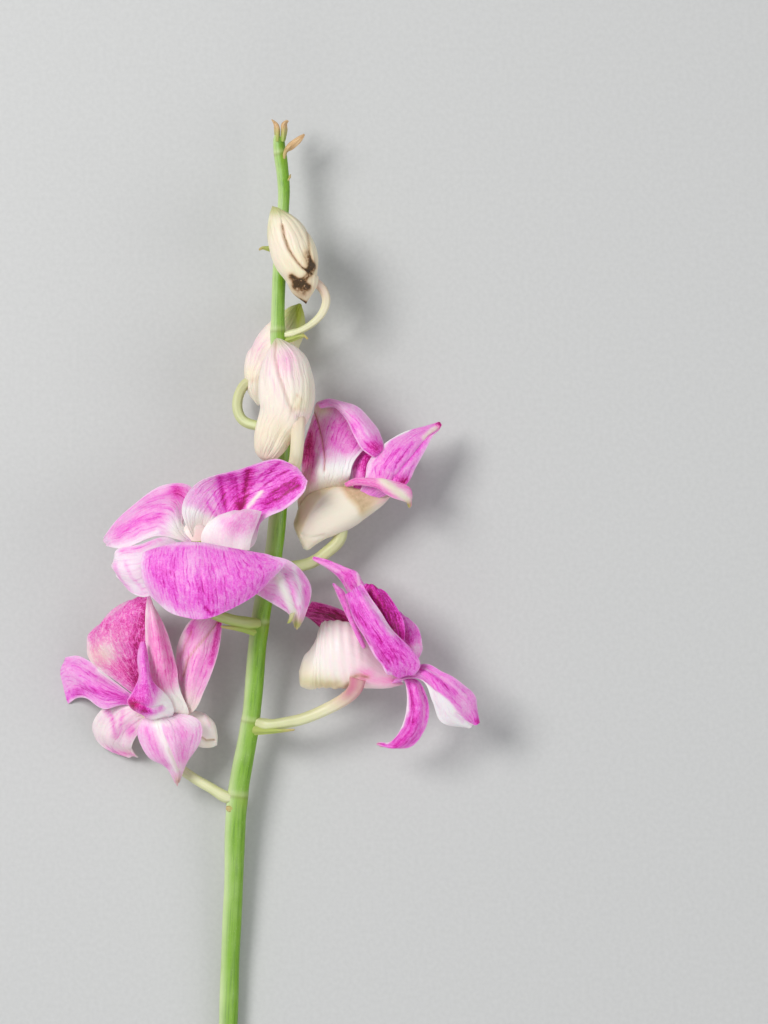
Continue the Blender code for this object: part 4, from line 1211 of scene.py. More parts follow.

# %% [markdown]
# ## Chins and columns
#
# At the back of an open flower the feet of two sepals and of the column grow together into a chin, the
# mentum. It is waxy white and cream, with a tan patch of painted shade on the first one and faint painted
# light and shade along the ribs of the fourth, and the sepals' edges run over it as low ridges.
# The column is the short waxy organ in the middle of the flower that carries the pollen.

# %% Mentums
mentum = partial(grow_body, CHIN, "mentum", parallel=True)
CHIN_1_EDGE = [(302.3, 530), (309.8, 513.7), (318, 500.5), (327.9, 490.6), (339.5, 484), (348, 480.5)]
# The border of a tan patch of painted shade under the first flower's lower sepal.
CHIN_1_SHADE_EDGE = [(362, 519), (357, 507), (347, 497), (342, 489), (338, 478)]
CHIN_1_FOOT = [(300, 533), (304, 537), (312, 538.5), (324, 536)]
CHIN_3_RIDGE = [(203, 716), (209, 728)]
CHIN_3_NOTCH = [(199, 738), (205, 742), (213, 741)]
# Where that painted shade lies: it fades out downwards and towards the chin's right end.
CHIN_1_SHADE = both(fade(1.0, (361, 524), (354, 515)), fade(1.0, (404, 500), (366, 490)))

mentum("bloom_1_mentum", [
    (303, 549, 12.4, 0.0, 0.0), (300.5, 538, 12.5, 3.5, 2.4), (305.5, 529, 12.8, 4.7, 3.6),
    (314, 520, 13.0, 5.6, 4.4), (326, 512, 13.0, 6.4, 4.7), (341.5, 506.5, 12.9, 5.9, 4.4),
    (357.5, 501.5, 12.8, 4.6, 3.6), (377, 497.5, 12.6, 2.5, 2.2), (391, 496.5, 12.5, 0.0, 0.0),
],
    relief=[
        lap(-0.20, CHIN_1_EDGE, 1.2, 9), line(-0.30, CHIN_1_FOOT, 1.6),
        line(-0.25, [(296, 500), (294, 520)], 2.0), wave(0.05, 2, 13),
    ],
    pigment=[spot(0.22, (381, 497), (11, 8)), line(0.06, [(372, 506), (384, 500), (394, 494)], 2.0)],
    rose=[0.55],
    cream=[
        # Beyond the border and inside the mask: the cream of the painted tan shade.
        0.55, both(beyond(0.50, CHIN_1_SHADE_EDGE, 4.0), CHIN_1_SHADE), beyond(0.40, CHIN_1_EDGE[::-1], 1.5),
        line(0.35, [(300, 502), (297, 520)], 4.0),
    ],
    green=[
        0.03, spot(0.24, (297, 522), (4, 16)), spot(0.14, (306, 542), (8, 6)),
        spot(0.08, (366, 512), (8, 8)),
    ],
    brown=[
        # Beyond the border and inside the mask: the brown of the painted tan shade.
        both(beyond(0.42, CHIN_1_SHADE_EDGE, 4.0), CHIN_1_SHADE), beyond(0.10, CHIN_1_EDGE[::-1], 1.5),
        line(0.12, [(300, 505), (297, 522)], 2.0),
    ],
)
mentum("bloom_2_mentum", [
    (203, 552, 25.4, 0.0, 0.0), (206, 558, 24.6, 2.2, 2.0), (211, 570, 23.4, 3.0, 2.5),
    (218, 583, 22.9, 2.3, 1.9), (223, 592, 22.8, 0.0, 0.0),
],
    relief=[wave(0.06, 2, 13)], pigment=[0.06], cream=[0.35], green=[0.15],
)
mentum("bloom_3_mentum", [
    (154, 716, 10.0, 0.0, 0.0), (162, 718, 9.6, 2.0, 1.8), (178, 723, 9.0, 3.2, 2.7),
    (193, 728, 8.6, 4.0, 3.0), (206, 736, 8.4, 3.6, 2.6), (213, 743, 8.2, 1.8, 1.5),
    (216, 747, 8.2, 0.0, 0.0),
],
    relief=[line(-0.40, CHIN_3_NOTCH, 1.4), line(0.25, CHIN_3_RIDGE, 2.0), wave(0.05, 2, 13)],
    pigment=[0.03, line(0.10, CHIN_3_RIDGE, 1.6)], rose=[0.6],
    cream=[0.14, spot(0.4, (206, 745), (6, 4))], brown=[line(0.45, CHIN_3_NOTCH, 1.1), 0.03],
)
CHIN_4_MIDDLE = both(fade(1.0, (308, 650), (319, 650)), fade(1.0, (374, 655), (352, 650)))
mentum("bloom_4_mentum", [
    (298.5, 672, 13.4, 0.0, 0.0), (301.5, 671.5, 13.5, 3.6, 2.2), (307, 669.5, 13.8, 4.9, 3.6),
    (312, 665.5, 14.0, 6.2, 4.6), (317, 657, 14.1, 8.3, 5.2), (324, 655, 14.2, 8.5, 5.4),
    (338, 655, 14.6, 8.5, 5.6), (356, 658.5, 14.8, 7.6, 5.2), (372, 668.5, 14.8, 5.2, 4.0),
    (388, 679, 14.6, 2.5, 2.3), (404, 685, 14.4, 0.0, 0.0),
],
    relief=[
        both(wave(0.12, 5, 112), CHIN_4_MIDDLE), lap(0.25, [(330, 690), (352, 677), (372, 671)], 2.0, 8),
        wave(0.05, 3, 9),
    ],
    lengthwise=220,
    pigment=[
        0.03, fade(0.12, (330, 650), (374, 655)), spot(0.30, (366, 674), (9, 6)),
        spot(0.26, (392, 681), (22, 5)), spot(0.08, (374, 640), (9, 16)), spot(-0.06, (312, 668), (14, 14)),
        # This faint pigment wave along the ribs is painted light and shade of the ribs.
        both(wave(0.03, 7, 112, 1.5), CHIN_4_MIDDLE),
    ],
    rose=[0.80], cream=[0.12, fade(0.45, (330, 664), (322, 684)), spot(0.2, (306, 668), (8, 14))],
    green=[spot(0.34, (308, 682), (26, 6)), spot(0.26, (338, 685), (22, 4))],
    brown=[line(0.45, [(352, 677), (360, 675), (368, 677)], 2.0), spot(0.24, (328, 685), (22, 4)), 0.02],
)

# %% Columns
for name, stations in {
    "bloom_1_column": [
        (350, 496, 12.4, 0.0, 0.0), (353, 490, 12.3, 0.9, 0.8), (358, 480, 12.2, 1.0, 0.8),
        (361, 472, 12.0, 0.0, 0.0),
    ],
    "bloom_2_column": [
        (196, 553, 26.4, 0.0, 0.0), (196.5, 546, 26.8, 2.8, 0.8), (196, 537, 26.6, 3.0, 0.8),
        (195, 527, 26.0, 2.6, 0.8), (194, 514, 24.2, 0.0, 0.0),
    ],
    "bloom_3_column": [
        (155, 708, 15.2, 0.0, 0.0), (155, 704.5, 17.2, 1.0, 0.9), (155, 698, 18.4, 1.1, 0.9),
        (154, 691, 19.2, 0.9, 0.8), (153, 686, 19.6, 0.0, 0.0),
    ],
    "bloom_4_column": [
        (391, 676, 16.2, 0.0, 0.0), (397, 668, 17.0, 0.7, 0.7), (402, 661, 17.4, 0.8, 0.7),
        (405, 656, 17.4, 0.0, 0.0),
    ],
}.items():
    grow_body(
        WAX, "column", name, stations, [both(wave(0.10, 3, 0), wash(1.0, 0.6, 0.9))],
        pigment=[0.20, wash(-0.10, 0.3, 0.8)], rose=[0.8], cream=[0.85, wash(-0.45, 0.2, 0.8)],
    )

# %% [markdown]
# ## Bloom 1, upper right
#
# This flower turns its side and back to the viewer. Its tall left petal is mauve, with a crimson
# stripe at the left, a long fold line, and a margin that rolls over at the upper right. The right
# petal is streaked from its middle and ends in a small crimson hook. The lower sepal closes the
# flower and has a green tip. Two more sepals lie behind, where the flower rests on the floor.
#
# A flower's marks follow its growth: pale at the foot, deepest along the main veins, and bruised or
# faded where it has been bent. So most lists of strokes start with the organ's general strength of
# colour and go on to its marks.

# %% Bloom 1
petal = partial(grow_leaf, PETAL, "petal")
sepal = partial(grow_leaf, SEPAL, "sepal")
lip = partial(grow_leaf, LIP, "lip")

FOLD = [(313, 411), (318, 424), (322, 439.5), (324.6, 459), (323.8, 471)]
BEFORE_HOOK = [(424, 438), (431, 431), (438, 427)]
RIGHT_CREASE = [(393, 480), (407, 462.6), (417, 451), (428.6, 436), (438.5, 429.6)]
SEPAL_STRIPE = [(382, 480), (392, 488), (407, 499)]
CRIMSON_ENDS = both(fade(1.0, (306, 408), (304, 438)), fade(1.0, (300, 494), (302, 476)))
petal("bloom_1_left_petal", [
    [(307, 518, 12.4), (322, 508, 11.4), (338, 499, 11.2)],
    [(297.5, 506, 12.8), (318, 493, 13.4), (347, 484, 12.6)],
    [(300, 478, 13.6), (323, 474, 17.0), (350, 475, 16.4)],
    [(304, 446, 12.8), (328, 450, 17.0), (354, 461, 16.0)],
    [(311, 420, 11.6), (335, 428, 15.8), (367, 447, 15.0)],
    [(316, 402.5, 10.6), (344, 412, 13.6), (383, 444, 13.4)],
    [(329, 399.5, 10.4), (350, 405.5, 11.8), (374, 426, 12.0)],
],
    relief=[line(-0.45, FOLD, 1.8), lap(0.35, FOLD, 1.5, 12), wave(0.12, 5, 2), frill(0.22, 16)],
    pigment=[
        0.40, fade(-0.42, (326, 444), (331, 472)),
        both(fade(0.40, (321, 455), (313, 455)), CRIMSON_ENDS),
        line(-0.20, [(309, 418), (315, 434), (317, 452)], 2.6), line(0.16, FOLD, 1.2),
        spot(0.10, (338, 428), (9, 7)), spot(-0.26, (322, 412), (10, 8)), spot(0.14, (352, 446), (8, 9)),
        line(0.14, [(332, 440), (344, 452)], 3.0),
    ],
    rose=[0.30, both(fade(0.45, (319, 455), (311, 455)), fade(1.0, (306, 415), (304, 445)))],
    cream=[
        fade(0.60, (330, 462), (326, 488)), spot(0.60, (322, 409), (10, 6)), spot(0.3, (300, 500), (6, 16)),
    ],
    # The last brown fade, towards the foot, is painted shade.
    brown=[spot(0.20, (321, 408), (10, 6)), line(0.50, FOLD, 0.9), fade(0.16, (326, 474), (324, 492))],
)
petal("bloom_1_petal_fold", [
    [(317, 403, 13.2), (319, 405, 13.6), (321, 408, 13.6)],
    [(330, 398.5, 13.2), (333, 402, 15.0), (335, 407.5, 15.2)],
    [(347, 402.5, 14.2), (346, 409, 16.6), (345, 418, 16.4)],
    [(362, 410, 14.8), (358, 420, 17.6), (353, 433, 17.0)],
    [(374, 424, 14.8), (368, 435, 17.8), (361, 448, 17.2)],
    [(381, 436, 14.4), (376, 445, 17.0), (370, 455, 16.6)],
    [(384, 446, 14.0), (381, 451, 15.4), (376, 458, 15.4)],
],
    nodes=["bloom_1_left_petal"], relief=[wave(0.15, 2, 20)],
    pigment=[
        0.30, spot(0.24, (355, 426), (5, 9)), spot(0.42, (374, 447), (11, 9)),
        spot(0.12, (326, 402), (10, 4)),
    ],
    rose=[0.12, spot(0.3, (375, 447), (10, 7))],
)
petal("bloom_1_right_petal", [
    [(356, 500, 14.0), (362, 501, 14.2), (368, 502, 14.0)],
    [(365, 478, 15.6), (384, 484, 16.4), (404, 486, 15.2)],
    [(368, 462, 15.2), (391, 466, 17.4), (416, 467, 15.4)],
    [(382, 446, 14.2), (403, 449, 16.4), (425, 450, 14.6)],
    [(405, 431.5, 12.8), (417, 436, 14.0), (433, 436, 13.2)],
    [(427, 425, 12.0), (435, 427, 12.2), (440, 428.5, 12.0)],
    [(439, 421.5, 11.6), (440.5, 422, 11.6), (442, 424.5, 11.6)],
],
    relief=[line(-0.45, RIGHT_CREASE, 1.8), lap(0.35, RIGHT_CREASE, 1.5, 8), frill(0.16, 14)],
    pigment=[
        0.40, spot(0.05, (397, 458), (13, 11)), line(0.24, RIGHT_CREASE, 1.2),
        spot(0.42, (404, 481), (7, 6)), line(-0.50, [(381, 446), (392, 437), (408, 430)], 2.2),
        line(-0.16, [(366, 478), (371, 462), (384, 446)], 3.0),
        line(-0.26, BEFORE_HOOK, 2.4), spot(0.50, (440, 424), (4, 5)),
        line(0.16, [(380, 474), (388, 460), (400, 449)], 1.6),
        line(0.16, [(392, 470), (402, 456), (412, 444)], 1.6),
    ],
    rose=[0.08, spot(0.6, (440, 424), (5, 6)), spot(0.4, (404, 481), (8, 7))],
    cream=[line(0.6, BEFORE_HOOK, 2.6)],
    green=[line(0.10, BEFORE_HOOK, 2.0)],
)
sepal("bloom_1_lower_sepal", [
    [(345, 483, 14.6), (346, 484.5, 14.8), (348, 486.5, 14.6)],
    [(356, 478, 18.2), (357, 481, 18.6), (358, 485, 18.2)],
    [(374, 478, 19.0), (375, 482, 19.4), (376, 488, 19.0)],
    [(391, 480.5, 18.6), (391, 488, 19.2), (391, 497, 18.4)],
    [(410, 488, 17.2), (409, 494.5, 17.6), (405, 501.5, 17.0)],
    [(412, 505, 16.2), (409.5, 508, 16.0), (407.5, 505, 16.2)],
],
    relief=[wave(0.10, 0, 9), line(0.2, SEPAL_STRIPE, 3.0)],
    pigment=[0.46, line(-0.42, SEPAL_STRIPE, 4.0), spot(-0.12, (404, 492), (6, 5))], rose=[0.60],
    cream=[line(0.40, SEPAL_STRIPE, 5.0)],
    green=[spot(0.95, (408, 506), (4, 5)), line(0.16, SEPAL_STRIPE, 3.0)], brown=[0.03],
)
for name, rows in {
    "bloom_1_back_sepal": [
        [(334, 500, 11.6), (341, 500, 11.4), (348, 500, 11.6)],
        [(334, 480, 9.0), (346, 478, 9.4), (357, 482, 9.0)],
        [(338, 456, 5.0), (351, 454, 5.4), (364, 460, 5.0)],
        [(344, 434, 1.4), (357, 431, 1.8), (370, 437, 1.4)],
        [(350, 417, 0.0), (359, 413, 0.0), (367, 420, 0.0)],
    ],
    "bloom_1_side_sepal": [
        [(366, 500, 11.8), (371, 500, 11.6), (376, 500, 11.8)],
        [(374, 482, 9.4), (385, 484, 9.8), (397, 486, 9.4)],
        [(380, 466, 6.0), (394, 467, 6.4), (408, 470, 6.0)],
        [(390, 452, 2.2), (402, 452, 2.6), (414, 456, 2.2)],
        [(399, 443, 0.0), (406, 442, 0.0), (413, 447, 0.0)],
    ],
}.items():
    sepal(
        name, rows, relief=[wave(0.15, 0, 6)],
        pigment=[0.05, wash(0.42, 0.1, 0.6), rim(-0.12, 0.7)], rose=[0.2], green=[wash(0.5, 0.94, 1.0)],
    )
lip("bloom_1_lip", [
    [(354, 499, 13.4), (358, 500, 13.4), (361, 500, 13.4)],
    [(353, 480, 14.0), (362, 478, 14.8), (372, 479, 13.2)],
    [(353, 466, 13.6), (364, 463, 14.6), (377, 468, 12.6)],
    [(362, 452, 12.6), (370, 449, 13.2), (380, 456, 12.0)],
    [(371, 446, 12.0), (375, 445, 12.2), (380, 448, 11.8)],
],
    relief=[frill(0.20, 12, 0.5)],
    pigment=[0.58, spot(0.14, (366, 464), (9, 10)), spot(-0.20, (356, 474), (6, 6))], rose=[0.40],
    under=0.95,
)

# %% [markdown]
# ## Bloom 2, upper left
#
# This one opens upwards, so it shows its face. The wide front petal hangs towards the viewer and is
# the most evenly coloured, with darker veins running down it. Behind the peach throat the far petal
# carries the deepest colour in fans of veins, and the small inner lobe beside the throat is the lip,
# pink with a broad white rim. The sepals at both sides are paler.

# %% Bloom 2
WHITE_STREAK = [(277, 574), (286, 592), (294, 611)]
CREAM_STREAK = [(248, 508), (254, 501), (262, 492)]
FAN_LEFT = [(221, 478), (223, 495), (227, 510)]
FAN_NEXT = [(231, 473), (233, 492), (236, 506)]
FAN_MIDDLE = [(249, 472), (246, 490), (243, 509)]
FAN_RIGHT = [(298, 485), (282, 493), (266, 505)]
FINE_FANS = [
    [(252, 486), (262, 474), (276, 464)], [(260, 490), (276, 477), (290, 470)],
    [(276, 500), (290, 492), (301, 485)], [(214, 492), (218, 504), (222, 514)],
    [(206, 500), (211, 509), (217, 516)], [(262, 482), (272, 470), (280, 462)],
    [(270, 494), (284, 486), (298, 478)], [(236, 478), (238, 492), (239, 506)],
]
sepal("bloom_2_left_sepal", [
    [(196, 544, 27.6), (197, 546, 27.4), (198, 548, 27.2)],
    [(184, 524, 25.6), (181, 532, 27.2), (181, 540, 28.2)],
    [(192, 488, 22.0), (172, 510, 26.0), (160, 536, 29.2)],
    [(160, 487, 21.0), (148, 512, 25.4), (140, 543, 28.6)],
    [(126, 511, 20.0), (122, 528, 23.2), (122, 548.5, 26.0)],
    [(103.6, 538, 19.0), (104, 541, 19.4), (107, 546, 20.4)],
],
    relief=[
        both(wave(0.22, 5, 0), wash(1.0, 0.2, 0.6)), frill(0.22, 15),
        line(0.25, [(112, 540), (140, 524), (170, 512)], 5.0),
    ],
    pigment=[
        0.33, spot(-0.38, (179, 530), (13, 15)), spot(0.36, (179, 493), (7, 9)),
        spot(0.18, (196, 484), (8, 5)), line(0.18, [(122, 532), (138, 523), (160, 516)], 5.0),
        line(-0.22, [(116, 548), (136, 542), (158, 533)], 4.0), spot(-0.14, (106, 542), (7, 8)),
        line(0.14, [(150, 502), (166, 496), (176, 488)], 3.0),
        line(0.12, [(140, 508), (160, 506), (172, 510)], 2.0),
    ],
    rose=[0.20, spot(0.35, (180, 493), (11, 11))], cream=[spot(0.3, (180, 536), (10, 9))], under=0.8,
)
sepal("bloom_2_lower_sepal", [
    [(191, 554, 25.8), (192, 558, 25.4), (193, 562, 25.2)],
    [(168, 537, 30.2), (166, 558, 31.2), (172, 578, 29.8)],
    [(141, 544.5, 31.2), (140, 567, 33.4), (152, 595, 31.4)],
    [(119, 549.5, 28.6), (120, 568, 30.6), (133, 591.5, 28.8)],
    [(114.5, 560, 26.6), (113.5, 566, 27.0), (117.5, 576, 26.6)],
],
    relief=[wave(0.20, 5, 0), frill(0.15, 12)],
    pigment=[
        0.11, line(0.26, [(124, 549), (140, 547), (160, 537)], 4.5),
        line(0.18, [(118, 564), (122, 580), (134, 592)], 2.5),
        line(0.14, [(128, 562), (134, 576), (144, 588)], 1.8), spot(0.12, (146, 594), (6, 5)),
    ],
    rose=[0.20],
)
petal("bloom_2_front_petal", [
    [(195, 554, 28.6), (198, 554.5, 29.0), (201, 555, 29.2), (205, 554.5, 29.0), (208, 554, 28.6)],
    [(153, 550, 34.8), (176, 543.5, 36.4), (201, 543, 37.2), (228, 547.5, 36.8), (258, 552.5, 35.4)],
    [(144, 558, 36.0), (170, 562, 39.8), (203, 566, 41.2), (238, 565, 40.4), (278, 557, 36.6)],
    [(145, 576, 36.0), (172, 586, 40.6), (206, 590, 42.6), (243, 584, 41.0), (288, 562, 36.4)],
    [(152, 596, 34.4), (180, 614, 38.6), (207, 617, 40.4), (241, 604, 39.2), (273, 579, 36.2)],
],
    relief=[
        both(wave(0.22, 9, 0, 1.0), wash(1.0, 0.2, 0.6)), both(wave(0.35, 9, 0, -1.1), wash(1.0, 0.8, 1.0)),
        line(-0.30, [(202, 570), (206, 592), (209, 610)], 3.0),
    ],
    pigment=[
        0.47, beyond(-0.14, [(148, 551), (151, 568), (162, 586), (174, 603)], 6.0),
        spot(0.13, (163, 574), (12, 13)), spot(0.11, (213, 591), (15, 14)),
        # The small pale spot at (221, 572) is a painted glint.
        spot(0.05, (242, 580), (16, 12)), spot(-0.13, (194, 562), (8, 13)), spot(-0.12, (221, 572), (5, 5)),
        line(-0.14, [(166, 606), (184, 614), (200, 613)], 5.0),
        line(-0.22, [(155, 546), (180, 544), (205, 544), (228, 549)], 2.2),
        line(0.30, [(208, 606), (213, 612), (219, 610)], 2.0),
        line(0.10, [(176, 560), (174, 580), (180, 600)], 3.0), line(0.10, [(200, 575), (204, 600)], 2.5),
        line(-0.10, [(286, 560), (272, 580), (258, 594)], 3.0),
    ],
    rose=[0.03], under=0.9,
)
sepal("bloom_2_right_sepal", [
    [(205, 552, 26.4), (206, 555, 26.2), (206, 558, 26.0)],
    [(232, 552, 28.6), (234, 566, 29.2), (236, 580, 28.4)],
    [(264, 555, 30.4), (262, 575, 31.8), (257, 593, 30.4)],
    [(292, 562, 29.8), (285, 582, 32.4), (274, 603, 30.6)],
    [(310.5, 586, 27.2), (300, 600, 29.6), (288, 612, 28.2)],
    [(305, 614, 25.2), (299.5, 620, 26.0), (293, 621, 25.6)],
    [(299, 627, 24.4), (297, 628.5, 24.4), (295, 626.5, 24.4)],
],
    relief=[
        wave(0.20, 6, 0), line(-0.35, [(284, 572), (292, 590), (297, 610)], 2.0),
        line(0.25, WHITE_STREAK, 3.0),
    ],
    pigment=[
        0.26, line(-0.24, WHITE_STREAK, 4.0), line(-0.16, [(294, 568), (300, 584), (299, 602)], 2.0),
        line(0.18, [(300, 570), (307, 584), (307, 604)], 3.0),
        line(0.14, [(287, 574), (293, 592), (297, 608)], 1.5),
        line(0.12, [(262, 588), (276, 598), (288, 610)], 3.0),
    ],
    rose=[0.25], cream=[line(0.25, WHITE_STREAK, 4.0)],
    green=[spot(0.9, (297, 624), (7, 8)), spot(0.3, (292, 614), (4, 4))],
)
sepal("bloom_2_tip_hook", [
    [(290.5, 611, 28.0), (293, 613, 28.2), (295.5, 611, 28.0)],
    [(289.5, 618, 27.4), (291.5, 618, 27.8), (293.5, 617.5, 27.4)],
    [(287.5, 623, 26.8), (289, 622.5, 27.0), (290.5, 622.5, 26.8)],
],
    nodes=["bloom_2_right_sepal"], pigment=[0.05], cream=[0.6], green=[0.55, wash(0.35, 0.0, 1.0)],
)
petal("bloom_2_far_petal", [
    [(197, 546, 26.8), (200, 546, 26.4), (203, 547, 26.4)],
    [(183, 510, 28.0), (212, 522, 25.4), (250, 548, 26.4)],
    [(201, 481, 27.4), (234, 492, 24.2), (262, 522, 26.4)],
    [(243, 469, 26.6), (262, 482, 24.4), (285, 509, 26.2)],
    [(276, 459, 25.6), (287, 472, 25.0), (304, 493, 26.6)],
    [(297, 467, 25.6), (302, 473, 25.8), (307.5, 481, 26.6)],
],
    relief=[
        line(-0.35, FAN_LEFT, 3.0), line(-0.40, FAN_MIDDLE, 3.0), line(-0.30, FAN_RIGHT, 3.0),
        line(0.15, CREAM_STREAK, 2.0), frill(0.30, 17, 0.5),
    ],
    pigment=[
        0.44, beyond(-0.11, [(213, 470), (215, 490), (221, 514)], 7.0), spot(-0.14, (190, 514), (12, 9)),
        line(0.32, FAN_LEFT, 3.6), line(0.26, FAN_NEXT, 5.0), line(0.44, FAN_MIDDLE, 5.0),
        line(0.32, FAN_RIGHT, 7.0), *[line(0.24, path, 1.1) for path in FINE_FANS],
        spot(0.12, (280, 478), (18, 12)), line(-0.45, CREAM_STREAK, 1.8), spot(-0.10, (190, 512), (9, 12)),
        fade(-0.40, (216, 511), (212, 524)),
        line(-0.14, [(296, 466), (305, 476), (304, 492), (292, 505)], 3.5),
        spot(-0.14, (272, 513), (12, 5)),
    ],
    rose=[0.06, spot(0.8, (200, 531), (17, 13)), line(0.2, FAN_MIDDLE, 5.0)],
    cream=[spot(0.55, (200, 533), (16, 14)), line(0.4, CREAM_STREAK, 2.4)], under=0.9,
)
lip("bloom_2_lip", [
    [(203, 546, 28.6), (218, 549, 29.2), (234, 549.5, 29.0), (250, 550, 28.4)],
    [(202.5, 535, 29.4), (219, 537, 30.6), (236, 538, 30.4), (252.5, 538, 28.8)],
    [(208, 524.5, 29.6), (222, 526, 31.2), (239, 526.5, 31.0), (256.5, 527, 28.8)],
    [(219, 516, 29.4), (231, 516.5, 31.0), (245, 516.5, 30.8), (260, 518.5, 28.6)],
    [(232, 511.5, 28.6), (241, 510.3, 29.4), (251, 509.3, 29.2), (262, 511.5, 28.0)],
],
    relief=[wave(0.12, 8, 0)],
    pigment=[
        spot(0.36, (238, 526), (15, 11)), spot(0.26, (250, 514), (14, 6)), spot(0.12, (224, 520), (6, 5)),
        spot(0.2, (255, 524), (6, 8)),
    ],
    rose=[0.30], cream=[0.10], under=0.9,
)

# %% [markdown]
# ## Bloom 3, lower left
#
# It faces the viewer, and it is past its best: the upper petal's net of veins shows pale in dark
# tissue, and its left edge has dried to tan. The lip is folded together in the middle and darkest
# at its throat. One petal has turned salmon pink, and the others fade to cream with brown lines.

# %% Bloom 3
SPENT_CREASE = [(218, 620), (207, 635), (197, 647), (187, 660), (182, 677)]
SPENT_SIDE = [(191, 632), (184, 647), (180, 658)]
LIP_RIDGE = [(142, 644), (142, 662), (143, 682)]
PALE_KEEL = [(157, 725), (167, 748), (176, 769)]
grow_leaf(FADED, "petal", "bloom_3_upper_petal", [
    [(143, 703, 12.0), (146, 701, 12.2), (149, 700, 12.4)],
    [(120, 686, 13.0), (132, 676, 13.2), (146, 671, 13.6)],
    [(90, 662, 11.6), (114, 645, 14.6), (148, 640, 15.4)],
    [(86, 643, 9.4), (107, 626, 12.8), (149, 614, 15.2)],
    [(100, 623, 8.0), (116, 610, 11.0), (148, 601, 14.2)],
    [(122, 607, 8.0), (131, 600, 9.6), (147, 597, 12.4)],
],
    relief=[
        both(wave(0.28, 8, 3), wash(1.0, 0.2, 0.6)), frill(0.30, 21, 0.5),
        line(0.3, [(90, 640), (110, 650), (126, 670)], 4.0),
    ],
    pigment=[
        0.62, line(0.22, [(144, 604), (140, 640), (136, 676)], 8.0),
        line(0.12, [(122, 662), (134, 684), (142, 698)], 6.0), spot(-0.26, (103, 655), (19, 15)),
        spot(-0.16, (107, 650), (9, 9)), line(-0.25, [(87, 640), (88, 655), (92, 664)], 2.6),
        line(-0.16, [(100, 668), (118, 682), (132, 690)], 2.6),
        line(-0.20, [(88, 632), (104, 619), (126, 602)], 2.2),
    ],
    rose=[0.55, spot(0.2, (120, 670), (14, 12)), spot(0.2, (98, 650), (14, 12))],
    cream=[spot(0.4, (98, 656), (16, 13))],
    brown=[spot(0.14, (97, 658), (18, 13)), spot(0.08, (116, 634), (15, 12)), 0.02],
)
petal("bloom_3_middle_petal", [
    [(150, 710, 13.4), (161, 713, 13.8), (172, 716, 13.4)],
    [(149, 698, 15.4), (167, 705, 16.4), (188, 714, 14.8)],
    [(146.5, 679, 17.0), (161, 682, 18.4), (179, 688, 16.6)],
    [(145, 655, 17.8), (160, 660, 20.6), (176, 666, 17.4)],
    [(144.5, 629, 17.8), (156, 634, 20.6), (169, 638, 17.2)],
    [(145.5, 607, 17.0), (152, 611, 18.8), (159.5, 617, 16.8)],
    [(146, 595.5, 16.4), (148, 595, 16.6), (150, 598, 16.4)],
],
    relief=[wave(0.20, 4, 0), frill(0.12, 18)],
    pigment=[
        0.37, fade(-0.37, (168, 682), (174, 698)), spot(0.10, (172, 668), (9, 9)),
        spot(-0.10, (152, 612), (7, 10)), line(-0.16, [(147, 604), (146, 630), (149, 660)], 1.8),
        line(0.10, [(160, 640), (170, 660)], 4.0),
        *[line(0.07, [(150, at), (172, at - 7)], 1.0) for at in (640, 652, 664, 676)],
    ],
    rose=[0.78], cream=[fade(0.2, (170, 690), (178, 706))], under=0.95,
)
grow_leaf(SEPAL, "petal", "bloom_3_right_petal", [
    [(156, 705, 11.6), (158, 708, 11.4), (159, 711, 11.4)],
    [(180, 698, 13.0), (184, 706, 13.6), (190, 714, 13.4)],
    [(176, 672, 12.0), (190, 679, 14.8), (205, 688, 14.0)],
    [(177, 645, 11.0), (198, 650, 14.0), (215.5, 660, 13.2)],
    [(190, 621, 9.8), (204, 629, 12.0), (220, 638, 11.8)],
    [(209, 617, 9.0), (216, 616, 9.4), (221.6, 614.5, 9.8)],
],
    relief=[
        line(-0.45, SPENT_CREASE, 1.8), lap(0.35, SPENT_CREASE, 1.5, 10), line(-0.25, SPENT_SIDE, 1.6),
        wave(0.12, 6, 0),
    ],
    pigment=[
        0.34, spot(0.30, (190, 631), (6, 9)), line(0.36, [(219, 622), (215, 642), (210, 664)], 3.6),
        spot(0.12, (200, 668), (9, 14)), fade(-0.22, (192, 690), (186, 712)),
        line(-0.22, [(175, 656), (181, 641), (188, 623)], 2.2),
    ],
    rose=[0.30], cream=[0.20, fade(0.40, (198, 676), (188, 704))],
    brown=[
        line(0.42, SPENT_CREASE, 1.0), line(0.30, SPENT_SIDE, 0.9), spot(0.30, (219, 617), (3, 5)), 0.03,
    ],
)
sepal("bloom_3_left_sepal", [
    [(142, 704, 10.6), (142, 706, 10.4), (142, 708, 10.4)],
    [(124, 691, 11.6), (121, 699, 12.4), (121, 706, 12.2)],
    [(104, 675, 9.2), (98, 692, 11.4), (102, 710, 11.2)],
    [(88, 663, 6.2), (82, 682, 8.2), (86, 699.5, 7.6)],
    [(73, 657, 2.0), (67, 677, 3.2), (74, 700, 2.4)],
    [(61, 659, 0.0), (56.8, 680, 0.0), (65, 706, 0.0)],
],
    relief=[
        both(wave(0.25, 5, 2), wash(1.0, 0.2, 0.5)), frill(0.15, 13),
        line(0.25, [(70, 690), (100, 686), (130, 692)], 4.0),
    ],
    pigment=[
        0.36, line(0.24, [(72, 696), (84, 689), (104, 695), (124, 700)], 5.5),
        line(-0.36, [(98, 671), (118, 683), (134, 692)], 3.6), spot(0.20, (64, 702), (4, 6)),
        line(-0.14, [(68, 702), (78, 700), (90, 703)], 2.0),
        line(0.12, [(64, 664), (84, 674), (104, 684)], 2.0),
    ],
    rose=[0.10],
)
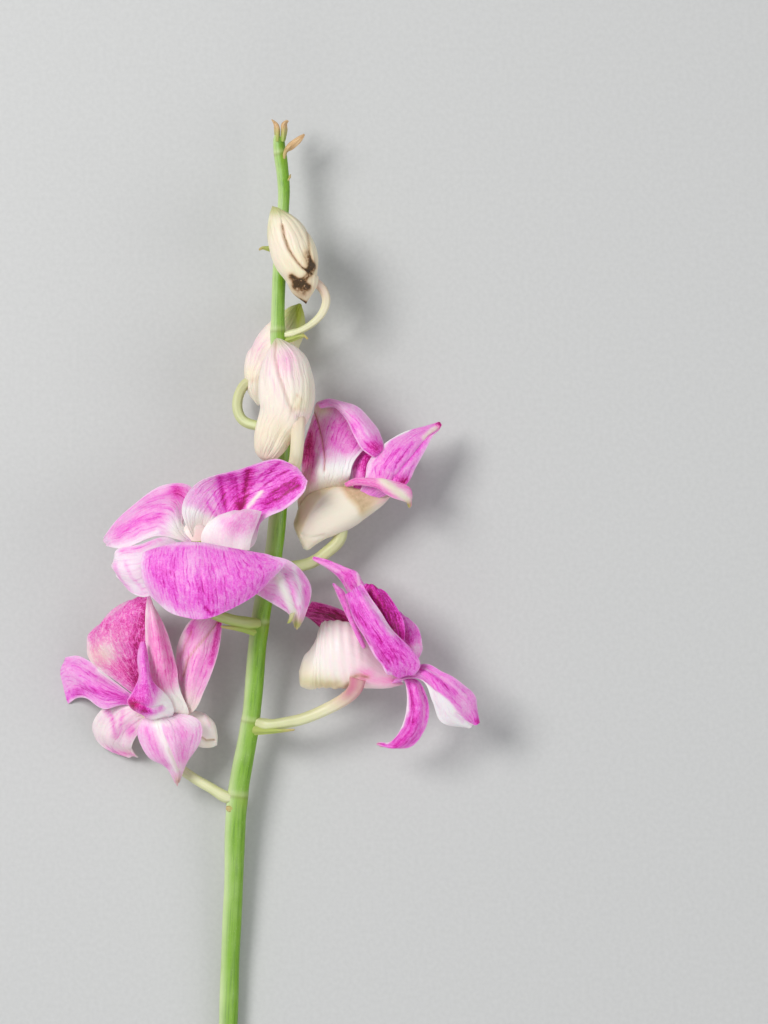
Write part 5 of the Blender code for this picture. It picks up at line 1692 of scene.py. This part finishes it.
sepal("bloom_3_lower_left_sepal", [
    [(144, 711, 9.8), (147, 717, 9.6), (150, 718, 9.6)],
    [(127, 701, 11.0), (134, 714, 12.2), (147, 727, 11.4)],
    [(106, 706, 8.6), (118, 724, 10.4), (136, 736, 10.4)],
    [(90.5, 726, 4.4), (107, 740, 6.6), (130, 748, 7.6)],
    [(95, 744.5, 2.0), (112, 752, 3.2), (131, 753, 5.6)],
    [(116, 756, 1.6), (126, 759.5, 2.4), (136, 758.5, 3.8)],
],
    relief=[
        both(wave(0.25, 7, 0), wash(1.0, 0.1, 0.5)), frill(0.20, 15),
        line(-0.3, [(110, 715), (112, 730), (120, 744)], 2.5),
    ],
    pigment=[
        0.16, line(0.26, [(106, 712), (112, 724), (114, 738)], 3.0),
        line(0.20, [(122, 712), (120, 724), (118, 734)], 2.4), spot(0.26, (129, 731), (7, 9)),
        line(0.24, [(106, 750), (119, 756), (132, 755)], 3.2), spot(-0.08, (98, 730), (8, 12)),
    ],
    rose=[0.35, spot(0.5, (130, 754), (12, 6))], cream=[0.25],
)
sepal("bloom_3_lower_front_sepal", [
    [(149, 713, 12.6), (152, 714, 12.6), (155, 714, 12.6)],
    [(138, 728, 15.6), (162, 724, 17.6), (192, 717.5, 15.8)],
    [(138, 740, 15.4), (168, 742, 18.8), (201.5, 728, 15.4)],
    [(148, 757, 14.2), (171, 757, 17.0), (198, 744, 14.6)],
    [(164, 768, 12.0), (176, 771, 13.8), (187, 762, 12.8)],
    [(174.5, 784, 10.4), (176, 787, 10.4), (177.5, 783, 10.4)],
],
    relief=[
        line(-0.35, [(160, 728), (170, 750), (178, 772)], 2.0), line(0.25, PALE_KEEL, 3.0),
        wave(0.14, 7, 0), frill(0.18, 13),
    ],
    pigment=[
        0.25, line(-0.18, PALE_KEEL, 3.8), line(0.12, [(146, 730), (155, 750), (166, 766)], 4.0),
        line(0.12, [(178, 722), (183, 740), (181, 758)], 6.0), rim(0.12, 0.82),
        fade(-0.14, (168, 732), (168, 722)), line(0.14, [(163, 726), (171, 748), (178, 768)], 1.2),
    ],
    rose=[0.35], cream=[line(0.15, PALE_KEEL, 4.0)],
    brown=[spot(0.45, (177, 783), (3, 5)), line(0.12, [(168, 748), (177, 772)], 1.0)],
    green=[spot(0.2, (177, 779), (4, 6))],
)
lip("bloom_3_lip", [
    [(140, 714, 15.0), (154, 721, 14.8), (170, 718, 15.0)],
    [(130, 706, 20.4), (149, 713, 21.4), (173, 710, 17.2)],
    [(127.5, 700, 22.4), (146, 702, 24.0), (171, 701, 18.6)],
    [(134, 691, 22.6), (147, 692, 24.6), (163, 692, 20.4)],
    [(138.5, 677, 21.6), (146, 679, 24.6), (154, 681, 23.0)],
    [(138.5, 660, 21.4), (144, 662, 23.4), (149, 666, 22.4)],
    [(141, 644, 20.6), (143, 642, 20.8), (145.5, 644, 20.4)],
],
    relief=[
        line(0.35, LIP_RIDGE, 3.0), line(-0.6, [(136, 703), (150, 708), (163, 705)], 2.5),
        frill(0.25, 16, 0.5),
    ],
    pigment=[
        0.56, spot(0.34, (134, 704), (6.5, 5)), line(0.34, [(144, 710), (154, 712), (162, 708)], 2.6),
        line(-0.16, LIP_RIDGE, 2.4), line(-0.16, [(147, 664), (149, 682), (153, 696)], 1.3),
        line(-0.14, [(141, 650), (140, 672), (140, 688)], 1.2), fade(-0.56, (150, 690), (165, 697)),
    ],
    rose=[0.12, spot(0.9, (134, 704), (8, 6))], under=0.95,
)

# %% [markdown]
# ## Bloom 4, right
#
# It faces right, so the viewer sees its chin and, above it, the outer sides of its petals on edge.
# They are the most vivid of all. One sepal curls under into a sickle, and another shows its white
# inner face along the lower edge.

# %% Bloom 4
INNER_FACE = [(425, 682), (440, 692), (449, 700), (458, 712), (465, 720), (474, 725.5)]
SICKLE_RIM = [(401, 675), (406.5, 690), (408, 710), (402.5, 727), (387, 744)]
petal("bloom_4_main_petal", [
    [(388, 673.5, 21.2), (399, 676, 22.2), (414, 674, 21.6)],
    [(383, 667, 22.4), (398, 666, 24.8), (420, 663, 23.6)],
    [(375, 656, 22.6), (391, 652, 26.4), (412, 650, 24.8)],
    [(363, 637, 22.6), (376, 630, 27.0), (392, 628, 25.4)],
    [(352, 614, 21.8), (363, 609, 26.2), (377, 606, 25.2)],
    [(345.5, 595, 20.8), (354, 589, 23.6), (362, 583.5, 23.4)],
],
    relief=[wave(0.25, 6, 5), frill(0.22, 19)],
    pigment=[
        0.50, spot(0.06, (362, 606), (11, 12)), line(-0.26, [(366, 598), (379, 613), (392, 634)], 4.0),
        spot(0.16, (388, 652), (14, 14)), line(-0.28, [(371, 646), (380, 665), (391, 674)], 1.2),
        line(0.12, [(352, 606), (368, 626), (380, 640)], 3.0),
    ],
    rose=[0.02], under=0.95,
)
petal("bloom_4_back_petal", [
    [(383, 676, 15.8), (386, 675, 15.9), (389, 674, 15.8)],
    [(386, 652, 18.6), (394, 650, 19.4), (402, 648, 18.6)],
    [(376, 632, 20.4), (391, 626, 21.8), (405, 632, 20.8)],
    [(367, 610, 20.4), (382, 604, 21.8), (401, 616, 20.6)],
    [(362, 592, 19.8), (374, 589, 21.0), (391, 599, 20.2)],
    [(366, 583.5, 19.6), (372, 585, 19.9), (381, 590, 19.6)],
],
    relief=[wave(0.20, 6, 0), frill(0.18, 15)],
    pigment=[
        0.74, line(0.14, [(370, 594), (382, 606), (391, 620), (398, 636)], 5.0),
        spot(-0.08, (398, 632), (5, 8)),
    ],
    rose=[0.12], under=0.95,
)
sepal("bloom_4_top_sepal", [
    [(382, 674, 13.0), (385, 673, 13.0), (388, 672, 13.0)],
    [(381, 648, 13.6), (388, 644, 14.0), (395, 641, 13.6)],
    [(362, 620, 14.4), (372, 612, 15.2), (382, 606, 14.8)],
    [(349, 597, 15.4), (357, 590, 16.6), (363.5, 583, 16.4)],
    [(340, 580, 15.8), (349, 576, 17.0), (356, 571.5, 16.6)],
    [(324, 567, 15.4), (331, 564, 16.0), (339, 566, 16.0)],
    [(313, 560, 15.0), (312.5, 557.5, 15.0), (317, 558, 15.0)],
],
    relief=[wave(0.22, 6, 4), frill(0.18, 22)],
    pigment=[
        0.46, spot(0.16, (346, 580), (8, 10)), line(-0.24, [(343, 577), (350, 591), (355, 599)], 1.6),
        line(-0.24, [(357, 574), (359, 586), (357, 598)], 1.6),
        line(-0.12, [(316, 562), (334, 570), (348, 570)], 2.0),
    ],
    rose=[0.20], under=0.95,
)
petal("bloom_4_left_petal", [
    [(352, 660, 10.4), (357, 652, 11.0), (360, 644, 12.0)],
    [(346, 656, 4.6), (348, 638, 8.2), (357, 625, 12.4)],
    [(336, 646, 0.0), (334, 628, 5.6), (345, 612, 12.2)],
    [(326, 634, 1.0), (317, 619, 6.2), (328, 605.5, 11.2)],
    [(309, 617.5, 5.0), (303, 616, 6.0), (311, 602.5, 9.6)],
],
    relief=[wave(0.25, 4, 5)],
    pigment=[
        0.80, spot(-0.18, (309, 608), (8, 6)), line(-0.20, [(303, 617), (330, 621), (354, 627)], 1.5),
        spot(-0.14, (330, 606), (8, 4)),
    ],
    rose=[0.65], under=1.0,
)
grow_leaf(PETAL, "lip", "bloom_4_side_lobe", [
    [(362, 650, 18.6), (364, 648, 18.7), (366, 646, 18.6)],
    [(349, 622, 19.4), (352, 621, 19.7), (355, 620, 19.4)],
    [(338, 598, 18.8), (342, 596, 19.2), (346, 594, 18.8)],
    [(332.5, 585, 18.2), (333, 583.5, 18.2), (335, 583.5, 18.2)],
],
    relief=[wave(0.15, 4, 0)], pigment=[0.50, wash(-0.10, 0.6, 1.0), rim(-0.12, 0.8)], rose=[0.25],
    under=0.95,
)
lip("bloom_4_lip", [
    [(392, 679, 14.4), (395, 678, 14.4), (398, 677, 14.4)],
    [(404, 662, 15.4), (412, 660, 16.0), (420, 656, 15.2)],
    [(400, 640, 15.4), (411, 640, 17.4), (421.5, 643, 16.0)],
    [(396, 625, 15.2), (407, 626, 17.0), (419, 631, 16.0)],
    [(394, 614, 14.8), (399, 612, 15.4), (409, 619, 15.2)],
],
    relief=[wave(0.20, 6, 0), frill(0.15, 17)],
    pigment=[
        0.50, spot(-0.30, (417, 649), (8, 8)), spot(-0.12, (414, 622), (6, 8)),
        spot(0.12, (410, 638), (6, 6)),
    ],
    rose=[0.10], under=0.95,
)
sepal("bloom_4_lower_right_sepal", [
    [(392, 683, 16.2), (395, 682, 16.4), (398, 681, 16.2)],
    [(412, 678, 20.0), (418, 671, 20.6), (424, 664, 20.4)],
    [(425, 685, 20.8), (433, 678, 22.4), (444, 673, 21.2)],
    [(432, 702, 20.0), (443, 691, 22.8), (459, 681.5, 20.8)],
    [(439, 720, 17.6), (456, 707, 20.2), (473, 693.5, 18.2)],
    [(452, 727, 16.0), (465, 717, 17.6), (477, 706.5, 16.2)],
    [(469, 729.5, 14.8), (474, 727, 14.8), (480, 723, 14.8)],
],
    relief=[wave(0.25, 5, 3), lap(-0.4, INNER_FACE, 1.5, 10), frill(0.20, 19, 0.5)],
    pigment=[
        0.46, both(beyond(-0.42, INNER_FACE, 1.2), fade(1.0, (420, 676), (427, 685))),
        spot(-0.14, (464, 706), (9, 14)), spot(0.30, (478, 722), (4, 4)),
        line(0.12, [(418, 668), (438, 680), (456, 694)], 2.0),
        line(-0.12, [(424, 668), (446, 680), (466, 696)], 1.6), line(0.16, [(456, 714), (463, 722)], 2.0),
    ],
    rose=[0.12], under=0.9,
)
sepal("bloom_4_curling_sepal", [
    [(386, 682, 14.4), (389, 682.5, 14.2), (392, 683, 14.0)],
    [(403, 681, 16.4), (409, 681, 17.4), (416, 680, 16.8)],
    [(407, 695, 17.6), (416, 694, 19.4), (426, 694, 18.0)],
    [(406, 715, 16.4), (417, 714, 18.8), (429, 712, 17.0)],
    [(400, 731, 14.8), (411, 733, 16.8), (424, 732, 15.4)],
    [(390, 743, 12.8), (397, 747, 13.8), (410, 748, 13.4)],
    [(378, 744, 11.4), (377, 745.5, 11.4), (380, 748, 11.4)],
],
    relief=[wave(0.22, 5, 0), frill(0.10, 15)],
    pigment=[
        0.54, line(-0.45, SICKLE_RIM, 1.8),
        line(0.16, [(412, 692), (417, 715), (411, 733), (396, 747)], 1.6),
        line(-0.12, [(418, 684), (425, 708), (422, 728)], 1.8),
        line(0.14, [(409, 684), (413, 706), (409, 724)], 1.4),
    ],
    rose=[0.15], cream=[wash(0.5, 0.94, 1.0)], brown=[wash(0.2, 0.95, 1.0)], under=0.95,
)

# %% [markdown]
# ## Count of faces
#
# The last line prints how many faces the pieces have in all.

# %% Faces in all
print("faces in all:", sum(made_faces.values()), "in", len(made_faces), "pieces")
